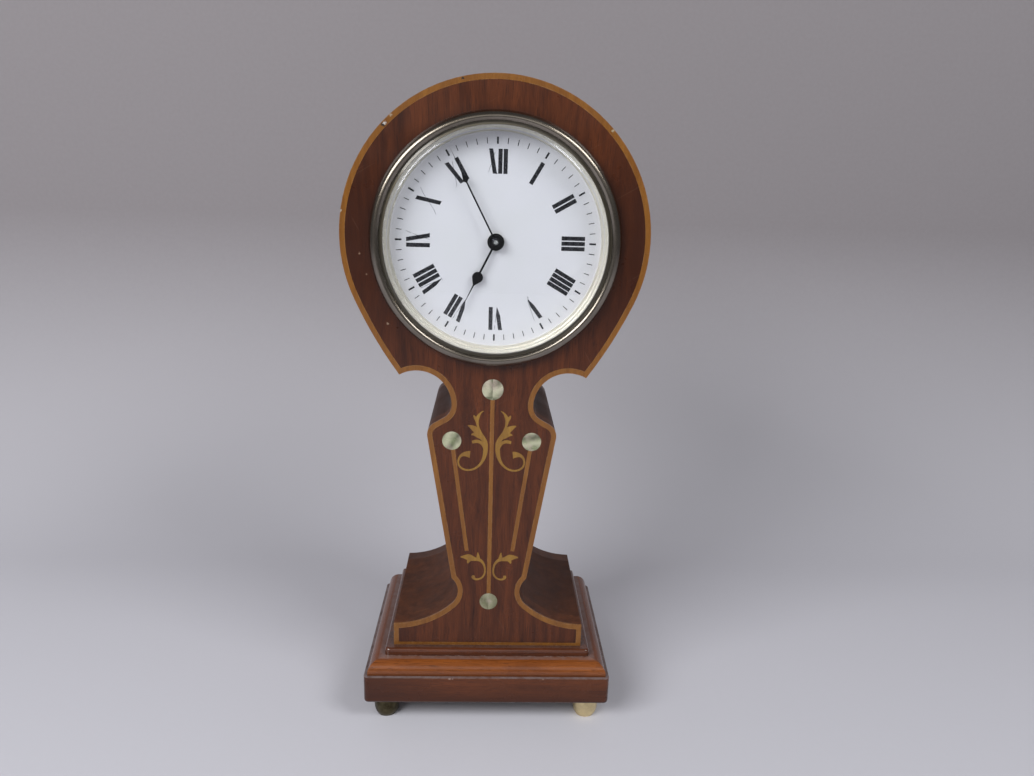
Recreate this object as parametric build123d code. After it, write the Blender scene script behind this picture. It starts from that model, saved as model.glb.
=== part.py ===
from build123d import *
import os
from math import acos, cos, degrees, hypot, pi, radians, sin, sqrt

# A French style balloon mantel clock of about 1900: a waisted mahogany case with boxwood stringing,
# scrolls and pearl discs, on a moulded plinth with brass feet, round a drum movement that is wound
# from the back. Lengths are in millimetres. +Z is up, the dial faces -Y, and the origin lies under
# the middle of the four feet.

# Plinth and feet
foot_height = 10.8
foot_radius = 6.2
foot_widest = 6.0
foot_pad_radius = 4.7
foot_pad_height = 0.6
foot_collar_radius = 5.8
foot_inset = 10.0
stud_radius = 1.5
stud_grip = 4.3
stud_end_gap = 0.3
board_width = 118.6
board_depth = 93.6
board_thickness = 14.0
board_corner_round = 2.2
board_edge_round = 1.8
moulding_height = 6.4
moulding_bead = 1.2
moulding_strip_width = 10.0
moulding_setback = 1.7
step_height = 3.7
step_setback = 9.1
step_corner_round = 2.4
step_edge_round = 1.5
plinth_back_setback = 1.0
plinth_screw_radius = 2.0
plinth_screw_head = 4.2
plinth_screw_length = 29.0
plinth_screw_spacing = 50.0
plinth_screw_gap = 0.2

# Outline of the case, drawn from the crown down its right side
body_height = 265.1
body_depth = 77.2
body_setback = 13.0
head_radius = 67.4
head_turn = 114.0
cusp_half = 42.2
cusp_drop = 61.2
neck_half = 18.6
cove_radius = 15.8
hollow_radius = 7.2
hollow_turn = 60.0
shoulder_slope = 5.0
shoulder_radius = 6.4
shoulder_turn = 69.3
crease_height = 36.2
crease_turn = 38.3
notch_radius = 9.4
notch_turn = 94.6
skirt_half = 46.0
skirt_edge = 11.3

# Carcase
front_board_thickness = 9.0
back_board_thickness = 8.0
band_thickness = 4.0
mitre_run = 14.0
block_width = 12.0
block_height = 18.0
foot_block_height = 7.0
joint_gap = 0.1

# Veneer and inlay
veneer_thickness = 1.0
inlay_gap = 0.05
border_width = 2.4
sill_width = 1.5
line_width = 1.9
top_disc_radius = 4.85
top_disc_drop = 6.2
side_disc_radius = 4.4
side_disc_drop = 30.8
side_disc_half = 18.4
low_disc_radius = 4.3
low_disc_height = 23.9
side_line_foot_half = 10.9
side_line_foot_height = 50.6
upper_scroll_drop = 34.4
upper_scroll_size = 15.0
lower_scroll_height = 42.0
lower_scroll_size = 12.0

# Bezel, glass and dial; every radius steps in or out from the glass's
dial_drop = 1.5
glass_radius = 48.9
glass_thickness = 2.0
glass_edge = 1.0
glass_bevel = 2.3
glass_rise = 3.5
dial_margin = 1.7
dial_thickness = 1.2
dial_plate_thickness = 1.2
sight_depth = 6.0
sight_rim = 0.5
sight_slope_width = 1.5
sight_width = 2.6
sight_lip = 1.2
bezel_width = 5.3
bezel_crest_width = 3.5
bezel_quirk_width = 2.3
bezel_bead_width = 1.7
bezel_fall_width = 1.1
bezel_cover = 0.4
bezel_rise = 5.7
bezel_quirk = 0.7
bezel_bead = 0.4
bezel_lip = 0.7
bezel_swell = 0.6
bezel_spigot = 8.0
spigot_wall = 1.0
seat_gap = 0.1
case_hole_gap = 3.1
dial_foot_radius = 1.5
dial_foot_circle = 38.0
dial_foot_headings = (0, 120, 240)

# Hands
hand_thickness = 0.6
hand_gap = 0.8
minute_margin = 2.8
minute_hub_radius = 2.9
minute_stem = 0.7
minute_pear_radius = 1.1
minute_pear_reach = 29.2
minute_pear_tail = 3.4
hour_reach = 33.5
hour_hub_radius = 3.7
hour_stem = 0.9
hour_pear_radius = 2.4
hour_pear_reach = 17.3
hour_pear_tail = 3.9
needle_share = 0.7
hour_hand_turn = 206.5
minute_hand_turn = 332.6
nut_radius = 1.9
nut_height = 0.5
pin_radius = 0.8
pin_height = 0.4

# Drum, rear ring and rear door
drum_wall = 0.8
drum_gap = 0.2
ring_width = 7.1
ring_thickness = 1.2
ring_collar = 6.0
ring_recess_gap = 0.3
door_margin = 1.4
door_lap = 1.5
door_thickness = 1.2
door_gap = 0.2
door_rim = 1.5
door_dish = 0.5
knuckle_radius = 0.9
hinge_pin_radius = 0.45
hinge_reach = 3.5
hinge_length = 12.0
hinge_leaf = 4.0
knuckle_gap = 0.2
knob_radius = 1.7
knob_neck_radius = 0.9
knob_height = 1.8
knob_inset = 5.0
strap_width = 9.0
strap_thickness = 0.8
strap_gap = 4.0
lug_length = 6.0
lug_rise = 1.6
strap_screw_radius = 0.9
strap_screw_head = 1.8
strap_screw_inset = 1.0

# Movement plates
plate_radius = 42.0
plate_thickness = 2.0
plate_spacing = 24.0
dial_space = 6.6
pillar_radius = 2.2
pillar_waist = 1.7
pillar_circle = 37.5
pillar_headings = (60, 330, 250, 160)
plate_screw_radius = 1.0
plate_screw_head = 2.3
plate_screw_head_height = 1.4
plate_screw_grip = 6.0
run_gap = 0.05

# Going train: modules, heading of each arbor from the one before it, clockwise from the top
centre_teeth, third_pinion_teeth, centre_module, third_heading = 56, 7, 0.43, 35.0
third_teeth, fourth_pinion_teeth, third_module, fourth_heading = 45, 6, 0.50, 340.0
fourth_teeth, escape_pinion_teeth, fourth_module, escape_heading = 60, 6, 0.36, 250.0
barrel_teeth, inter_pinion_teeth, barrel_module = 63, 7, 0.57
inter_teeth, centre_pinion_teeth, inter_module = 50, 10, 0.46
barrel_offset = 21.0
barrel_heading = 215.0
minute_heading = 310.0
cannon_teeth, minute_teeth = 10, 30
minute_pinion_teeth, hour_teeth = 8, 32
motion_module = 0.60

# Teeth, as shares of the module: rise above and fall below the pitch line, and half widths
tip_share, root_share, tip_half_share, root_half_share = 0.75, 1.15, 0.30, 0.95

# Depths of the wheels, from the front plate's inner face
centre_wheel_depth = 2.0
inter_wheel_depth = 5.3
barrel_depth = 9.0
third_wheel_depth = 11.2
fourth_wheel_depth = 20.0
pinion_overlap = 0.8
wheel_thickness = 1.0
fine_wheel_thickness = 0.8
hub_share = 0.26
rim_width = 1.4
spoke_width = 1.2
spokes = 4

# Arbors
centre_arbor_radius = 1.2
inter_arbor_radius = 1.0
third_arbor_radius = 0.8
fourth_arbor_radius = 0.7
escape_arbor_radius = 0.5
pivot_share = 0.6
pivot_shoulder = 0.3
setting_length = 44.0
setting_knob_radius = 4.0
setting_knob_length = 4.0
setting_knob_flutes = 12
flute_radius = 0.5

# Motion work in front of the front plate
cannon_radius = 1.9
hour_pipe_radius = 2.6
hour_pipe_step = 0.3
dial_hole_radius = 3.0
cannon_shoulder = 0.3
cannon_leaf_length = 2.0
motion_thickness = 1.0
motion_gap = 0.5
stud_post_radius = 0.8

# Barrel and winding work
barrel_gear_thickness = 2.5
barrel_drum_radius = 16.4
barrel_height = 13.0
barrel_wall = 1.2
barrel_floor = 1.2
cover_thickness = 1.0
core_radius = 4.5
barrel_arbor_radius = 2.0
winding_square = 2.8
winding_length = 45.0
ratchet_teeth = 20
ratchet_radius = 7.0
ratchet_depth = 1.0
ratchet_slope_share = 0.85
ratchet_thickness = 1.5
rear_gap = 0.3
click_reach = 6.4
click_spread = 55.0
click_heading = 110.0
click_pivot_radius = 1.1
click_head_radius = 1.9
click_width = 1.1
click_clearance = 0.4
spring_width = 0.5
spring_offset = 4.0
spring_spread = 70.0
click_lift_room = 3.2

# Platform escapement on the back plate
platform_thickness = 1.2
escape_teeth = 15
escape_radius = 4.6
escape_root = 3.3
escape_face_share, escape_tip_share, escape_heel_share = 0.45, 0.60, 0.70
escape_thickness = 0.5
escape_plane = 1.2
lever_distance = 6.4
staff_distance = 12.6
platform_heading = 195.0
pallet_angle = 30.0
pallet_clearance = 0.45
fork_reach = 4.4
fork_slot = 0.6
fork_width = 2.0
lever_width = 1.0
lever_arbor_radius = 0.4
bridge_plane = 2.7
bridge_thickness = 1.0
bridge_foot_reach = 7.4
foot_post_radius = 2.0
cock_boss_radius = 2.2
balance_radius = 7.5
balance_rim = 0.9
balance_thickness = 0.9
balance_plane = 4.4
balance_arm = 0.9
staff_radius = 0.45
roller_radius = 1.6
roller_plane = 2.0
roller_thickness = 0.4
impulse_radius = 1.1
impulse_pin_radius = 0.2
cock_plane = 7.2
cock_thickness = 1.2
cock_foot_reach = 11.0
cock_foot_heading = 285.0
cock_boss = 3.0
regulator_ring = 2.6
regulator_tail = 9.0
regulator_thickness = 0.4
hairspring_plane = 6.0
hairspring_height = 0.4
hairspring_strip = 0.18
hairspring_pitch = 0.55
hairspring_start = 1.4
hairspring_halves = 10
platform_screw_radius = 0.7
platform_screw_head = 1.3
platform_screw_head_height = 0.7
platform_screw_turns = (115.0, 20.0, -100.0)
regulator_turn = -60.0
potence_gap = 0.3
potence_thickness = 1.2
potence_reach = 5.5
potence_post_radius = 1.4

overrun = 1.0
quarter_turn = 90.0
half_turn = 180.0
full_turn = 360.0

# Marquetry curls and leaves of one half, each a stroke of (x, z, width) from the root of its scroll,
# as shares of the scroll's size
upper_scroll_shares = (
    ((0.187, 0.067, 0.140), (0.193, -0.113, 0.140), (0.267, -0.387, 0.093), (0.467, -0.627, 0.067),
     (0.740, -0.707, 0.060), (0.967, -0.600, 0.060), (1.020, -0.407, 0.060), (0.927, -0.233, 0.093),
     (0.800, -0.187, 0.160), (0.660, -0.200, 0.227)),
    ((0.180, 0.033, 0.127), (0.220, 0.240, 0.147), (0.360, 0.447, 0.167), (0.507, 0.613, 0.193),
     (0.627, 0.693, 0.120), (0.737, 0.740, 0.027)),
    ((0.320, 0.347, 0.080), (0.413, 0.400, 0.120), (0.533, 0.460, 0.107), (0.630, 0.440, 0.027)),
    ((0.213, -0.013, 0.080), (0.260, 0.107, 0.087), (0.353, 0.207, 0.100), (0.480, 0.233, 0.107),
     (0.600, 0.200, 0.087)),
    ((0.313, 0.440, 0.080), (0.393, 0.613, 0.073), (0.440, 0.773, 0.077), (0.467, 0.907, 0.107),
     (0.527, 1.000, 0.080), (0.563, 1.067, 0.023)),
    ((0.460, 0.880, 0.087), (0.440, 0.987, 0.107), (0.380, 1.107, 0.067), (0.267, 1.207, 0.027)))
lower_scroll_shares = (
    ((0.300, 0.258, 0.108), (0.217, 0.133, 0.092), (0.171, -0.058, 0.075), (0.175, -0.250, 0.067),
     (0.267, -0.433, 0.075), (0.433, -0.525, 0.075), (0.583, -0.500, 0.108), (0.633, -0.433, 0.133),
     (0.617, -0.358, 0.083)),
    ((0.267, 0.208, 0.100), (0.383, 0.317, 0.125), (0.583, 0.358, 0.167), (0.800, 0.425, 0.267),
     (0.983, 0.450, 0.167), (1.150, 0.442, 0.042)),
    ((0.775, 0.358, 0.183), (0.833, 0.258, 0.117), (0.858, 0.175, 0.042)),
    ((0.442, 0.325, 0.183), (0.450, 0.475, 0.125), (0.463, 0.650, 0.033)))

# Radii, heights and depths that follow from the sizes above
dial_radius = glass_radius - dial_margin
case_hole_radius = glass_radius + case_hole_gap
bezel_radius = glass_radius + bezel_width
bezel_mouth = glass_radius - bezel_cover
minute_reach = dial_radius - minute_margin
ring_radius = glass_radius + ring_width
door_radius = glass_radius - door_margin
ring_mouth = door_radius - door_lap
hinge_offset = door_radius + hinge_reach
board_top = foot_height + board_thickness
moulding_top = board_top + moulding_height
body_foot = moulding_top + step_height
crown = body_foot + body_height
head_centre = crown - head_radius
dial_centre = head_centre - dial_drop
cusp_height = head_centre - cusp_drop
top_disc_height = cusp_height - top_disc_drop
side_disc_height = cusp_height - side_disc_drop
upper_scroll_height = cusp_height - upper_scroll_drop
board_front = -board_depth / 2
board_back = board_depth / 2
panel_front = board_front + body_setback
carcase_front = panel_front + veneer_thickness
body_back = panel_front + body_depth
frame_front = panel_front + front_board_thickness
frame_back = body_back - back_board_thickness
glass_front = panel_front - glass_rise
glass_back = glass_front + glass_thickness
dial_front = glass_back + sight_depth
dial_back = dial_front + dial_thickness
dial_plate_back = dial_back + dial_plate_thickness
front_plate_face = dial_plate_back + dial_space
train_front = front_plate_face + plate_thickness
train_back = train_front + plate_spacing
back_plate_face = train_back + plate_thickness
platform_face = back_plate_face + platform_thickness
ring_back = body_back
ring_front = ring_back - ring_thickness
door_front = ring_back + door_gap
door_back = door_front + door_thickness
hinge_depth = ring_back + door_gap + knuckle_radius


def board(face, front, back):
    """Solid whose front view is the face, from one depth to a deeper one."""
    return extrude(Plane.XZ.offset(-front) * face, amount=front - back)


def disc(radius, front, back):
    return board(Circle(radius), front, back)


def ring(outer, inner, front, back):
    return board(Circle(outer) - Circle(inner), front, back)


def turned(*corners):
    """Solid of revolution round the Y axis from (radius, depth) corners."""
    return revolve(make_face(Polyline(*corners, close=True)), Axis.Y)


def upright(*corners):
    """Solid of revolution round the Z axis from (radius, height) corners."""
    return revolve(Plane.XZ * make_face(Polyline(*corners, close=True)), Axis.Z)


def heading(point, distance, degrees_clockwise):
    """Point of the front view at a distance and clock angle from another."""
    angle = radians(degrees_clockwise)
    return (point[0] + distance * sin(angle), point[1] + distance * cos(angle))


def at(point):
    return Pos(point[0], 0, point[1])


def spun(degrees_clockwise):
    return Rot(0, degrees_clockwise, 0)


def round_the_dial(headings, radius):
    return [heading(centre, radius, angle) for angle in headings]


def mirrored(face):
    return face + mirror(face, about=Plane.YZ)


centre = (0, dial_centre)
third = heading(centre, centre_module * (centre_teeth + third_pinion_teeth) / 2, third_heading)
fourth = heading(third, third_module * (third_teeth + fourth_pinion_teeth) / 2, fourth_heading)
escape = heading(fourth, fourth_module * (fourth_teeth + escape_pinion_teeth) / 2, escape_heading)
barrel = heading(centre, barrel_offset, barrel_heading)
inter_reach = inter_module * (inter_teeth + centre_pinion_teeth) / 2
inter_span = barrel_module * (barrel_teeth + inter_pinion_teeth) / 2
inter_swing = degrees(acos((barrel_offset ** 2 + inter_reach ** 2 - inter_span ** 2)
                           / (2 * barrel_offset * inter_reach)))
inter = heading(centre, inter_reach, barrel_heading - inter_swing)
inter_heading = barrel_heading - inter_swing + half_turn
minute_post = heading(centre, motion_module * (cannon_teeth + minute_teeth) / 2, minute_heading)
lever_pivot = heading(escape, lever_distance, platform_heading)
staff = heading(escape, staff_distance, platform_heading)
bridge_foot = heading(escape, bridge_foot_reach, platform_heading + half_turn)
cock_foot = heading(staff, cock_foot_reach, cock_foot_heading)


# Case

def case_outline():
    """Front view of the case: a round head, a coved waist, a tapering column and a flared skirt."""
    crown_arc = CenterArc((0, head_centre), head_radius, 90, -head_turn)
    cusp = (cusp_half, cusp_height)
    cheek = TangentArc(crown_arc @ 1, cusp, tangent=crown_arc % 1)
    cove_x = neck_half + cove_radius
    cove_z = cusp[1] - sqrt(cove_radius ** 2 - (cusp_half - cove_x) ** 2)
    cove_start = degrees(acos((cusp_half - cove_x) / cove_radius))
    cove = CenterArc((cove_x, cove_z), cove_radius, cove_start, half_turn - cove_start)
    hollow = JernArc(cove @ 1, cove % 1, hollow_radius, hollow_turn)
    slope = PolarLine(hollow @ 1, shoulder_slope, direction=hollow % 1)
    shoulder = JernArc(slope @ 1, slope % 1, shoulder_radius, -shoulder_turn)
    taper_drop = (shoulder @ 1).Y - body_foot - crease_height
    taper = PolarLine(shoulder @ 1, taper_drop / abs((shoulder % 1).Y), direction=shoulder % 1)
    turned_in = (taper % 1).rotate(Axis.Z, -crease_turn)
    notch = JernArc(taper @ 1, turned_in, notch_radius, notch_turn)
    sweep_end = (skirt_half, body_foot + skirt_edge)
    flare = TangentArc(notch @ 1, sweep_end, tangent=notch % 1)
    side = Line(sweep_end, (skirt_half, body_foot))
    base = Line((skirt_half, body_foot), (0, body_foot))
    half = Curve() + [crown_arc, cheek, cove, hollow, slope, shoulder, taper, notch, flare, side, base]
    return make_face(half.edges() + mirror(half, about=Plane.YZ).edges())


outline = case_outline()
inside_band = offset(outline, amount=-band_thickness, kind=Kind.INTERSECTION)
inside_border = offset(outline, amount=-border_width, kind=Kind.INTERSECTION)
sill_top = body_foot + sill_width
border_foot = body_foot + border_width
sill_drop = (border_foot - sill_top) / 2
inside_border += Pos(0, sill_top + sill_drop) * Rectangle(
    2 * (skirt_half - border_width), 2 * sill_drop)


def head_region():
    """Everything above a mitre that runs inwards and upwards from each cusp."""
    edge = head_radius + overrun
    inner = (cusp_half - mitre_run, cusp_height + mitre_run)
    right = [inner, (cusp_half, cusp_height), (edge, cusp_height), (edge, crown + overrun)]
    left = [(-x, z) for x, z in reversed(right)]
    return make_face(Polyline(*right, *left, close=True))


def bands():
    """The bent sides between the two boards: one over the head, one down each side of the waist."""
    wall = outline - inside_band
    below_sill = Pos(0, body_foot + band_thickness / 2) * Rectangle(
        2 * (skirt_half - band_thickness), band_thickness)
    region = head_region()
    head = board(wall & region, frame_front, frame_back)
    sides = board(wall - region - below_sill, frame_front, frame_back)
    return head, sides


def front_board():
    return board(outline, carcase_front, frame_front) - at(centre) * disc(
        case_hole_radius, carcase_front - overrun, frame_front + overrun)


def back_board():
    hole = disc(case_hole_radius, frame_back - overrun, body_back + overrun)
    recess = disc(ring_radius + ring_recess_gap, ring_front, body_back + overrun)
    return board(outline, frame_back, body_back) - at(centre) * (hole + recess)


def waist_blocks():
    """Glue blocks behind both cusps, shaped to the bands that meet there."""
    reach = Pos(cusp_half - block_width / 2, cusp_height + block_height / 2) * Rectangle(
        block_width, block_height)
    room = offset(outline, amount=-(band_thickness + joint_gap), kind=Kind.INTERSECTION)
    blocks = mirrored(room & reach) - Pos(*centre) * Circle(case_hole_radius)
    return board(blocks, frame_front + joint_gap, frame_back - joint_gap)


def foot_block():
    half = skirt_half - band_thickness - joint_gap
    face = Pos(0, body_foot + foot_block_height / 2) * Rectangle(2 * half, foot_block_height)
    return board(face, frame_front + joint_gap, frame_back - joint_gap) - plinth_screw_holes()


# Plinth

foot_places = [(x, y) for x in (-1, 1) for y in (-1, 1)]
foot_x = board_width / 2 - foot_inset
foot_y = board_depth / 2 - foot_inset


def at_each_foot(piece):
    return [Pos(x * foot_x, y * foot_y, 0) * piece for x, y in foot_places]


def stud(side_gap, end_gap):
    """Stud that joins a foot to the board, or with gaps the bore that takes it."""
    return Pos(0, 0, foot_height) * Cylinder(stud_radius + side_gap, 2 * (stud_grip + end_gap))


def plinth_screw(gap):
    """Countersunk screw that comes up from under the base board."""
    shank = plinth_screw_radius + gap
    head = plinth_screw_head + gap
    top = foot_height + plinth_screw_length + gap
    return upright((0, foot_height), (head, foot_height), (shank, foot_height + head - shank),
                   (shank, top), (0, top))


def plinth_screws(gap=0.0):
    y = (panel_front + body_back) / 2
    return [Pos(x * plinth_screw_spacing / 2, y, 0) * plinth_screw(gap) for x in (-1, 1)]


def plinth_screw_holes():
    return Compound(children=plinth_screws(plinth_screw_gap))


def base_board():
    slab = Pos(0, 0, foot_height + board_thickness / 2) * Box(board_width, board_depth, board_thickness)
    slab = fillet(slab.edges().filter_by(Axis.Z), board_corner_round)
    slab = fillet(slab.faces().sort_by(Axis.Z)[0].edges(), board_edge_round)
    return slab - at_each_foot(stud(inlay_gap, stud_end_gap)) - plinth_screw_holes()


def moulding_strip(edge, length):
    """Ovolo along X, its outer edge set back from the board's front edge."""
    outer, inner = -edge + moulding_setback, -edge + moulding_setback + moulding_strip_width
    bead_top = board_top + moulding_bead
    rise = moulding_top - bead_top
    lines = Polyline((outer, bead_top), (outer, board_top), (inner, board_top), (inner, moulding_top),
                     (outer + rise, moulding_top))
    curve = RadiusArc((outer + rise, moulding_top), (outer, bead_top), -rise)
    section = make_face(lines.edges() + curve.edges())
    return extrude(Plane.YZ.offset(-length / 2) * section, amount=length)


def ovolo_moulding():
    """Moulding on the front and both sides; the two mitres stand at the front corners."""
    x, y = board_width / 2, board_depth / 2
    room = moulding_setback + moulding_strip_width
    back = y - plinth_back_setback
    front_plan = Polyline((-x, -y), (x, -y), (x - room, room - y), (room - x, room - y), close=True)
    side_plan = Polyline((-x, -y), (room - x, room - y), (room - x, back), (-x, back), close=True)
    front = moulding_strip(y, board_width) & extrude(make_face(front_plan), amount=crown)
    left = Rot(0, 0, -90) * moulding_strip(x, board_depth) & extrude(make_face(side_plan), amount=crown)
    return [front, left, mirror(left, about=Plane.YZ)]


def plinth_core():
    """Softwood inside the moulding, flush with its top."""
    edge = moulding_setback + moulding_strip_width + joint_gap
    front, back = board_front + edge, board_back - plinth_back_setback
    slab = Pos(0, (front + back) / 2, (board_top + moulding_top) / 2) * Box(
        board_width - 2 * edge, back - front, moulding_height)
    return slab - plinth_screw_holes()


def plinth_step():
    """Board under the case, thumb-moulded along its front and sides."""
    front, back = board_front + step_setback, board_back - plinth_back_setback
    slab = Pos(0, (front + back) / 2, moulding_top + step_height / 2) * Box(
        board_width - 2 * step_setback, back - front, step_height)
    slab = fillet(slab.edges().filter_by(Axis.Z).sort_by(Axis.Y)[:2], step_corner_round)
    edges = slab.faces().sort_by(Axis.Z)[-1].edges().sort_by(Axis.Y)[:-1]
    return fillet(edges, step_edge_round) - plinth_screw_holes()


def feet():
    """Turned bun feet on a small pad, bored for their studs."""
    pad = Polyline((0, foot_height), (0, 0), (foot_pad_radius, 0), (foot_pad_radius, foot_pad_height))
    belly = EllipticalCenterArc((foot_pad_radius, foot_widest), foot_radius - foot_pad_radius,
                                foot_widest - foot_pad_height, -quarter_turn, arc_size=quarter_turn)
    brow = EllipticalCenterArc((foot_collar_radius, foot_widest), foot_radius - foot_collar_radius,
                               foot_height - foot_widest, 0, arc_size=quarter_turn)
    lid = Line((foot_collar_radius, foot_height), (0, foot_height))
    profile = make_face(pad.edges() + belly.edges() + brow.edges() + lid.edges())
    foot = revolve(Plane.XZ * profile, Axis.Z)
    return at_each_foot(foot - stud(inlay_gap, stud_end_gap))


def foot_studs():
    return at_each_foot(stud(0, 0))


# Marquetry

def ribbon(shares, size, grow):
    """Tapering stroke through (x, z, width) points given as shares of a size, widened by grow."""
    spots = [(x * size, z * size, width * size / 2 + grow) for x, z, width in shares]
    left, right = [], []
    for index, (x, z, half) in enumerate(spots):
        before, after = spots[max(index - 1, 0)], spots[min(index + 1, len(spots) - 1)]
        run, rise = after[0] - before[0], after[1] - before[1]
        length = hypot(run, rise)
        left.append((x - rise / length * half, z + run / length * half))
        right.append((x + rise / length * half, z - run / length * half))
    sides = [Spline(*left), Line(left[-1], right[-1]), Spline(*reversed(right)), Line(right[0], left[0])]
    return make_face(sides)


def scroll(strokes, size, height, grow):
    half = ribbon(strokes[0], size, grow)
    for stroke in strokes[1:]:
        half += ribbon(stroke, size, grow)
    return Pos(0, height) * mirrored(half)


def scroll_faces(grow=0.0):
    """Both pairs of scrolls, stopped short of the discs."""
    upper = scroll(upper_scroll_shares, upper_scroll_size, upper_scroll_height, grow)
    lower = scroll(lower_scroll_shares, lower_scroll_size, body_foot + lower_scroll_height, grow)
    return [face - disc_faces(inlay_gap) for face in (upper, lower)]


def line_faces(grow=0.0):
    """A line down the middle and one leaning line under each side disc, stopped short of the discs."""
    width = line_width + 2 * grow
    low_height = body_foot + low_disc_height
    upright_line = Pos(0, (top_disc_height + low_height) / 2) * Rectangle(
        width, top_disc_height - low_height)
    run = side_disc_half - side_line_foot_half
    rise = side_disc_height - body_foot - side_line_foot_height
    length = hypot(run, rise)
    middle = (side_line_foot_half + run / 2, side_disc_height - rise / 2)
    leaning_line = Pos(*middle) * Rot(0, 0, -degrees(acos(rise / length))) * Rectangle(width, length)
    lines = upright_line + mirrored(leaning_line) - disc_faces(inlay_gap)
    for face in scroll_faces(inlay_gap):
        lines -= face
    return lines


def disc_faces(grow=0.0):
    top = Pos(0, top_disc_height) * Circle(top_disc_radius + grow)
    low = Pos(0, body_foot + low_disc_height) * Circle(low_disc_radius + grow)
    side = Pos(side_disc_half, side_disc_height) * Circle(side_disc_radius + grow)
    return top + low + mirrored(side)


def inlay(face):
    return board(face, panel_front, carcase_front)


def border_stringing():
    return inlay(outline - inside_border)


def panel_veneer():
    """Mahogany field with a cut-out for each inlaid piece."""
    field = offset(inside_border, amount=-inlay_gap, kind=Kind.INTERSECTION)
    field -= Pos(*centre) * Circle(case_hole_radius)
    for shape in [disc_faces(inlay_gap), line_faces(inlay_gap), *scroll_faces(inlay_gap)]:
        field -= shape
    return inlay(field)


# Bezel, glass and dial

def bezel():
    """Spun ring: a round rise to a crest, a quirk with a bead, a fall to the mouth, and a spigot."""
    crest = panel_front - bezel_rise
    crest_radius = glass_radius + bezel_crest_width
    quirk = (glass_radius + bezel_quirk_width, crest + bezel_quirk)
    bead = (glass_radius + bezel_bead_width, crest + bezel_bead)
    fall = (glass_radius + bezel_fall_width, crest + bezel_quirk)
    mouth = (bezel_mouth, glass_front - bezel_lip)
    inner = glass_radius + seat_gap
    curves = [ThreePointArc((bezel_radius, panel_front),
                            (bezel_radius - bezel_swell, panel_front - bezel_rise / 2),
                            (crest_radius, crest)),
              TangentArc((crest_radius, crest), quirk, tangent=(-1, 0)),
              ThreePointArc(quirk, bead, fall),
              Line(fall, mouth)]
    section = Polyline(mouth, (bezel_mouth, glass_front), (inner, glass_front),
                       (inner, panel_front + bezel_spigot),
                       (inner + spigot_wall, panel_front + bezel_spigot),
                       (inner + spigot_wall, panel_front), (bezel_radius, panel_front))
    return revolve(make_face([*section.edges(), *curves]), Axis.Y)


def glass():
    """Flat glass with a ground bevel round its front."""
    return turned((0, glass_front), (glass_radius - glass_bevel, glass_front),
                  (glass_radius, glass_back - glass_edge), (glass_radius, glass_back), (0, glass_back))


def sight_ring():
    """Brass ring that slopes from the glass in to a lip on the dial."""
    outer, inner = glass_radius, glass_radius - sight_width
    lip_front = dial_front - sight_lip
    slope_foot = outer - sight_slope_width
    return turned((outer, glass_back), (outer - sight_rim, glass_back), (slope_foot, lip_front),
                  (inner, lip_front), (inner, dial_front), (outer, dial_front))


def dial():
    return ring(dial_radius, dial_hole_radius, dial_front, dial_back)


def dial_plate():
    plate = ring(glass_radius, dial_hole_radius, dial_back, dial_plate_back)
    seat = ring(glass_radius, dial_radius + seat_gap, dial_front, dial_back)
    feet = [at(heading((0, 0), dial_foot_circle, angle)) * disc(
        dial_foot_radius, dial_plate_back, front_plate_face) for angle in dial_foot_headings]
    return plate + seat + feet


# Hands

def pear_hand(reach, stem, pear_radius, pear_reach, pear_tail, hub_radius):
    """Hand pointing up: a hub, a stem, a pear with its point outwards and a fine needle."""
    half = stem / 2
    lean = degrees(acos(pear_radius / pear_tail))
    right = Polyline((0, 0), (half, 0), (half, pear_reach), heading((0, pear_reach), pear_radius, lean),
                     (half * needle_share, pear_reach + pear_tail), (0, reach))
    blade = make_face(right.edges() + mirror(right, about=Plane.YZ).edges())
    return blade + Pos(0, pear_reach) * Circle(pear_radius) + Circle(hub_radius)


def minute_hand_face():
    return pear_hand(minute_reach, minute_stem, minute_pear_radius, minute_pear_reach, minute_pear_tail,
                     minute_hub_radius)


def hour_hand_face():
    return pear_hand(hour_reach, hour_stem, hour_pear_radius, hour_pear_reach, hour_pear_tail,
                     hour_hub_radius)


hour_hand_back = dial_front - 2 * hand_gap
hour_hand_front = hour_hand_back - hand_thickness
minute_hand_back = hour_hand_front - hand_gap
minute_hand_front = minute_hand_back - hand_thickness


def hour_hand():
    hole = Circle(hour_pipe_radius - hour_pipe_step)
    return spun(hour_hand_turn) * board(hour_hand_face() - hole, hour_hand_front, hour_hand_back)


def minute_hand():
    hole = Circle(centre_arbor_radius)
    return spun(minute_hand_turn) * board(minute_hand_face() - hole, minute_hand_front, minute_hand_back)


def hand_nut():
    """Domed collet that holds the minute hand."""
    return turned((centre_arbor_radius, minute_hand_front), (nut_radius, minute_hand_front),
                  (nut_radius, minute_hand_front - nut_height / 2),
                  (centre_arbor_radius, minute_hand_front - nut_height))


# Wheels

def toothed(teeth, module, phase=0.0):
    """Front view of a wheel or pinion, the middle of its first tooth at the phase."""
    pitch_radius = teeth * module / 2
    tip = pitch_radius + tip_share * module
    root = pitch_radius - root_share * module
    tip_half = tip_half_share * module / pitch_radius
    root_half = root_half_share * module / pitch_radius
    corners = []
    for tooth in range(teeth):
        middle = phase + 2 * pi * tooth / teeth
        for radius, half in ((root, -root_half), (tip, -tip_half), (tip, tip_half), (root, root_half)):
            corners.append((radius * sin(middle + half), radius * cos(middle + half)))
    return make_face(Polyline(*corners, close=True))


def meshed_phase(teeth, other_teeth, degrees_clockwise):
    """Phase that puts a gap of the second wheel on the tooth of the first nearest their line."""
    line = radians(degrees_clockwise)
    pitch = 2 * pi / teeth
    lead = (pitch / 2 - line) % pitch - pitch / 2
    return line + pi - lead * teeth / other_teeth + pi / other_teeth


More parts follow.
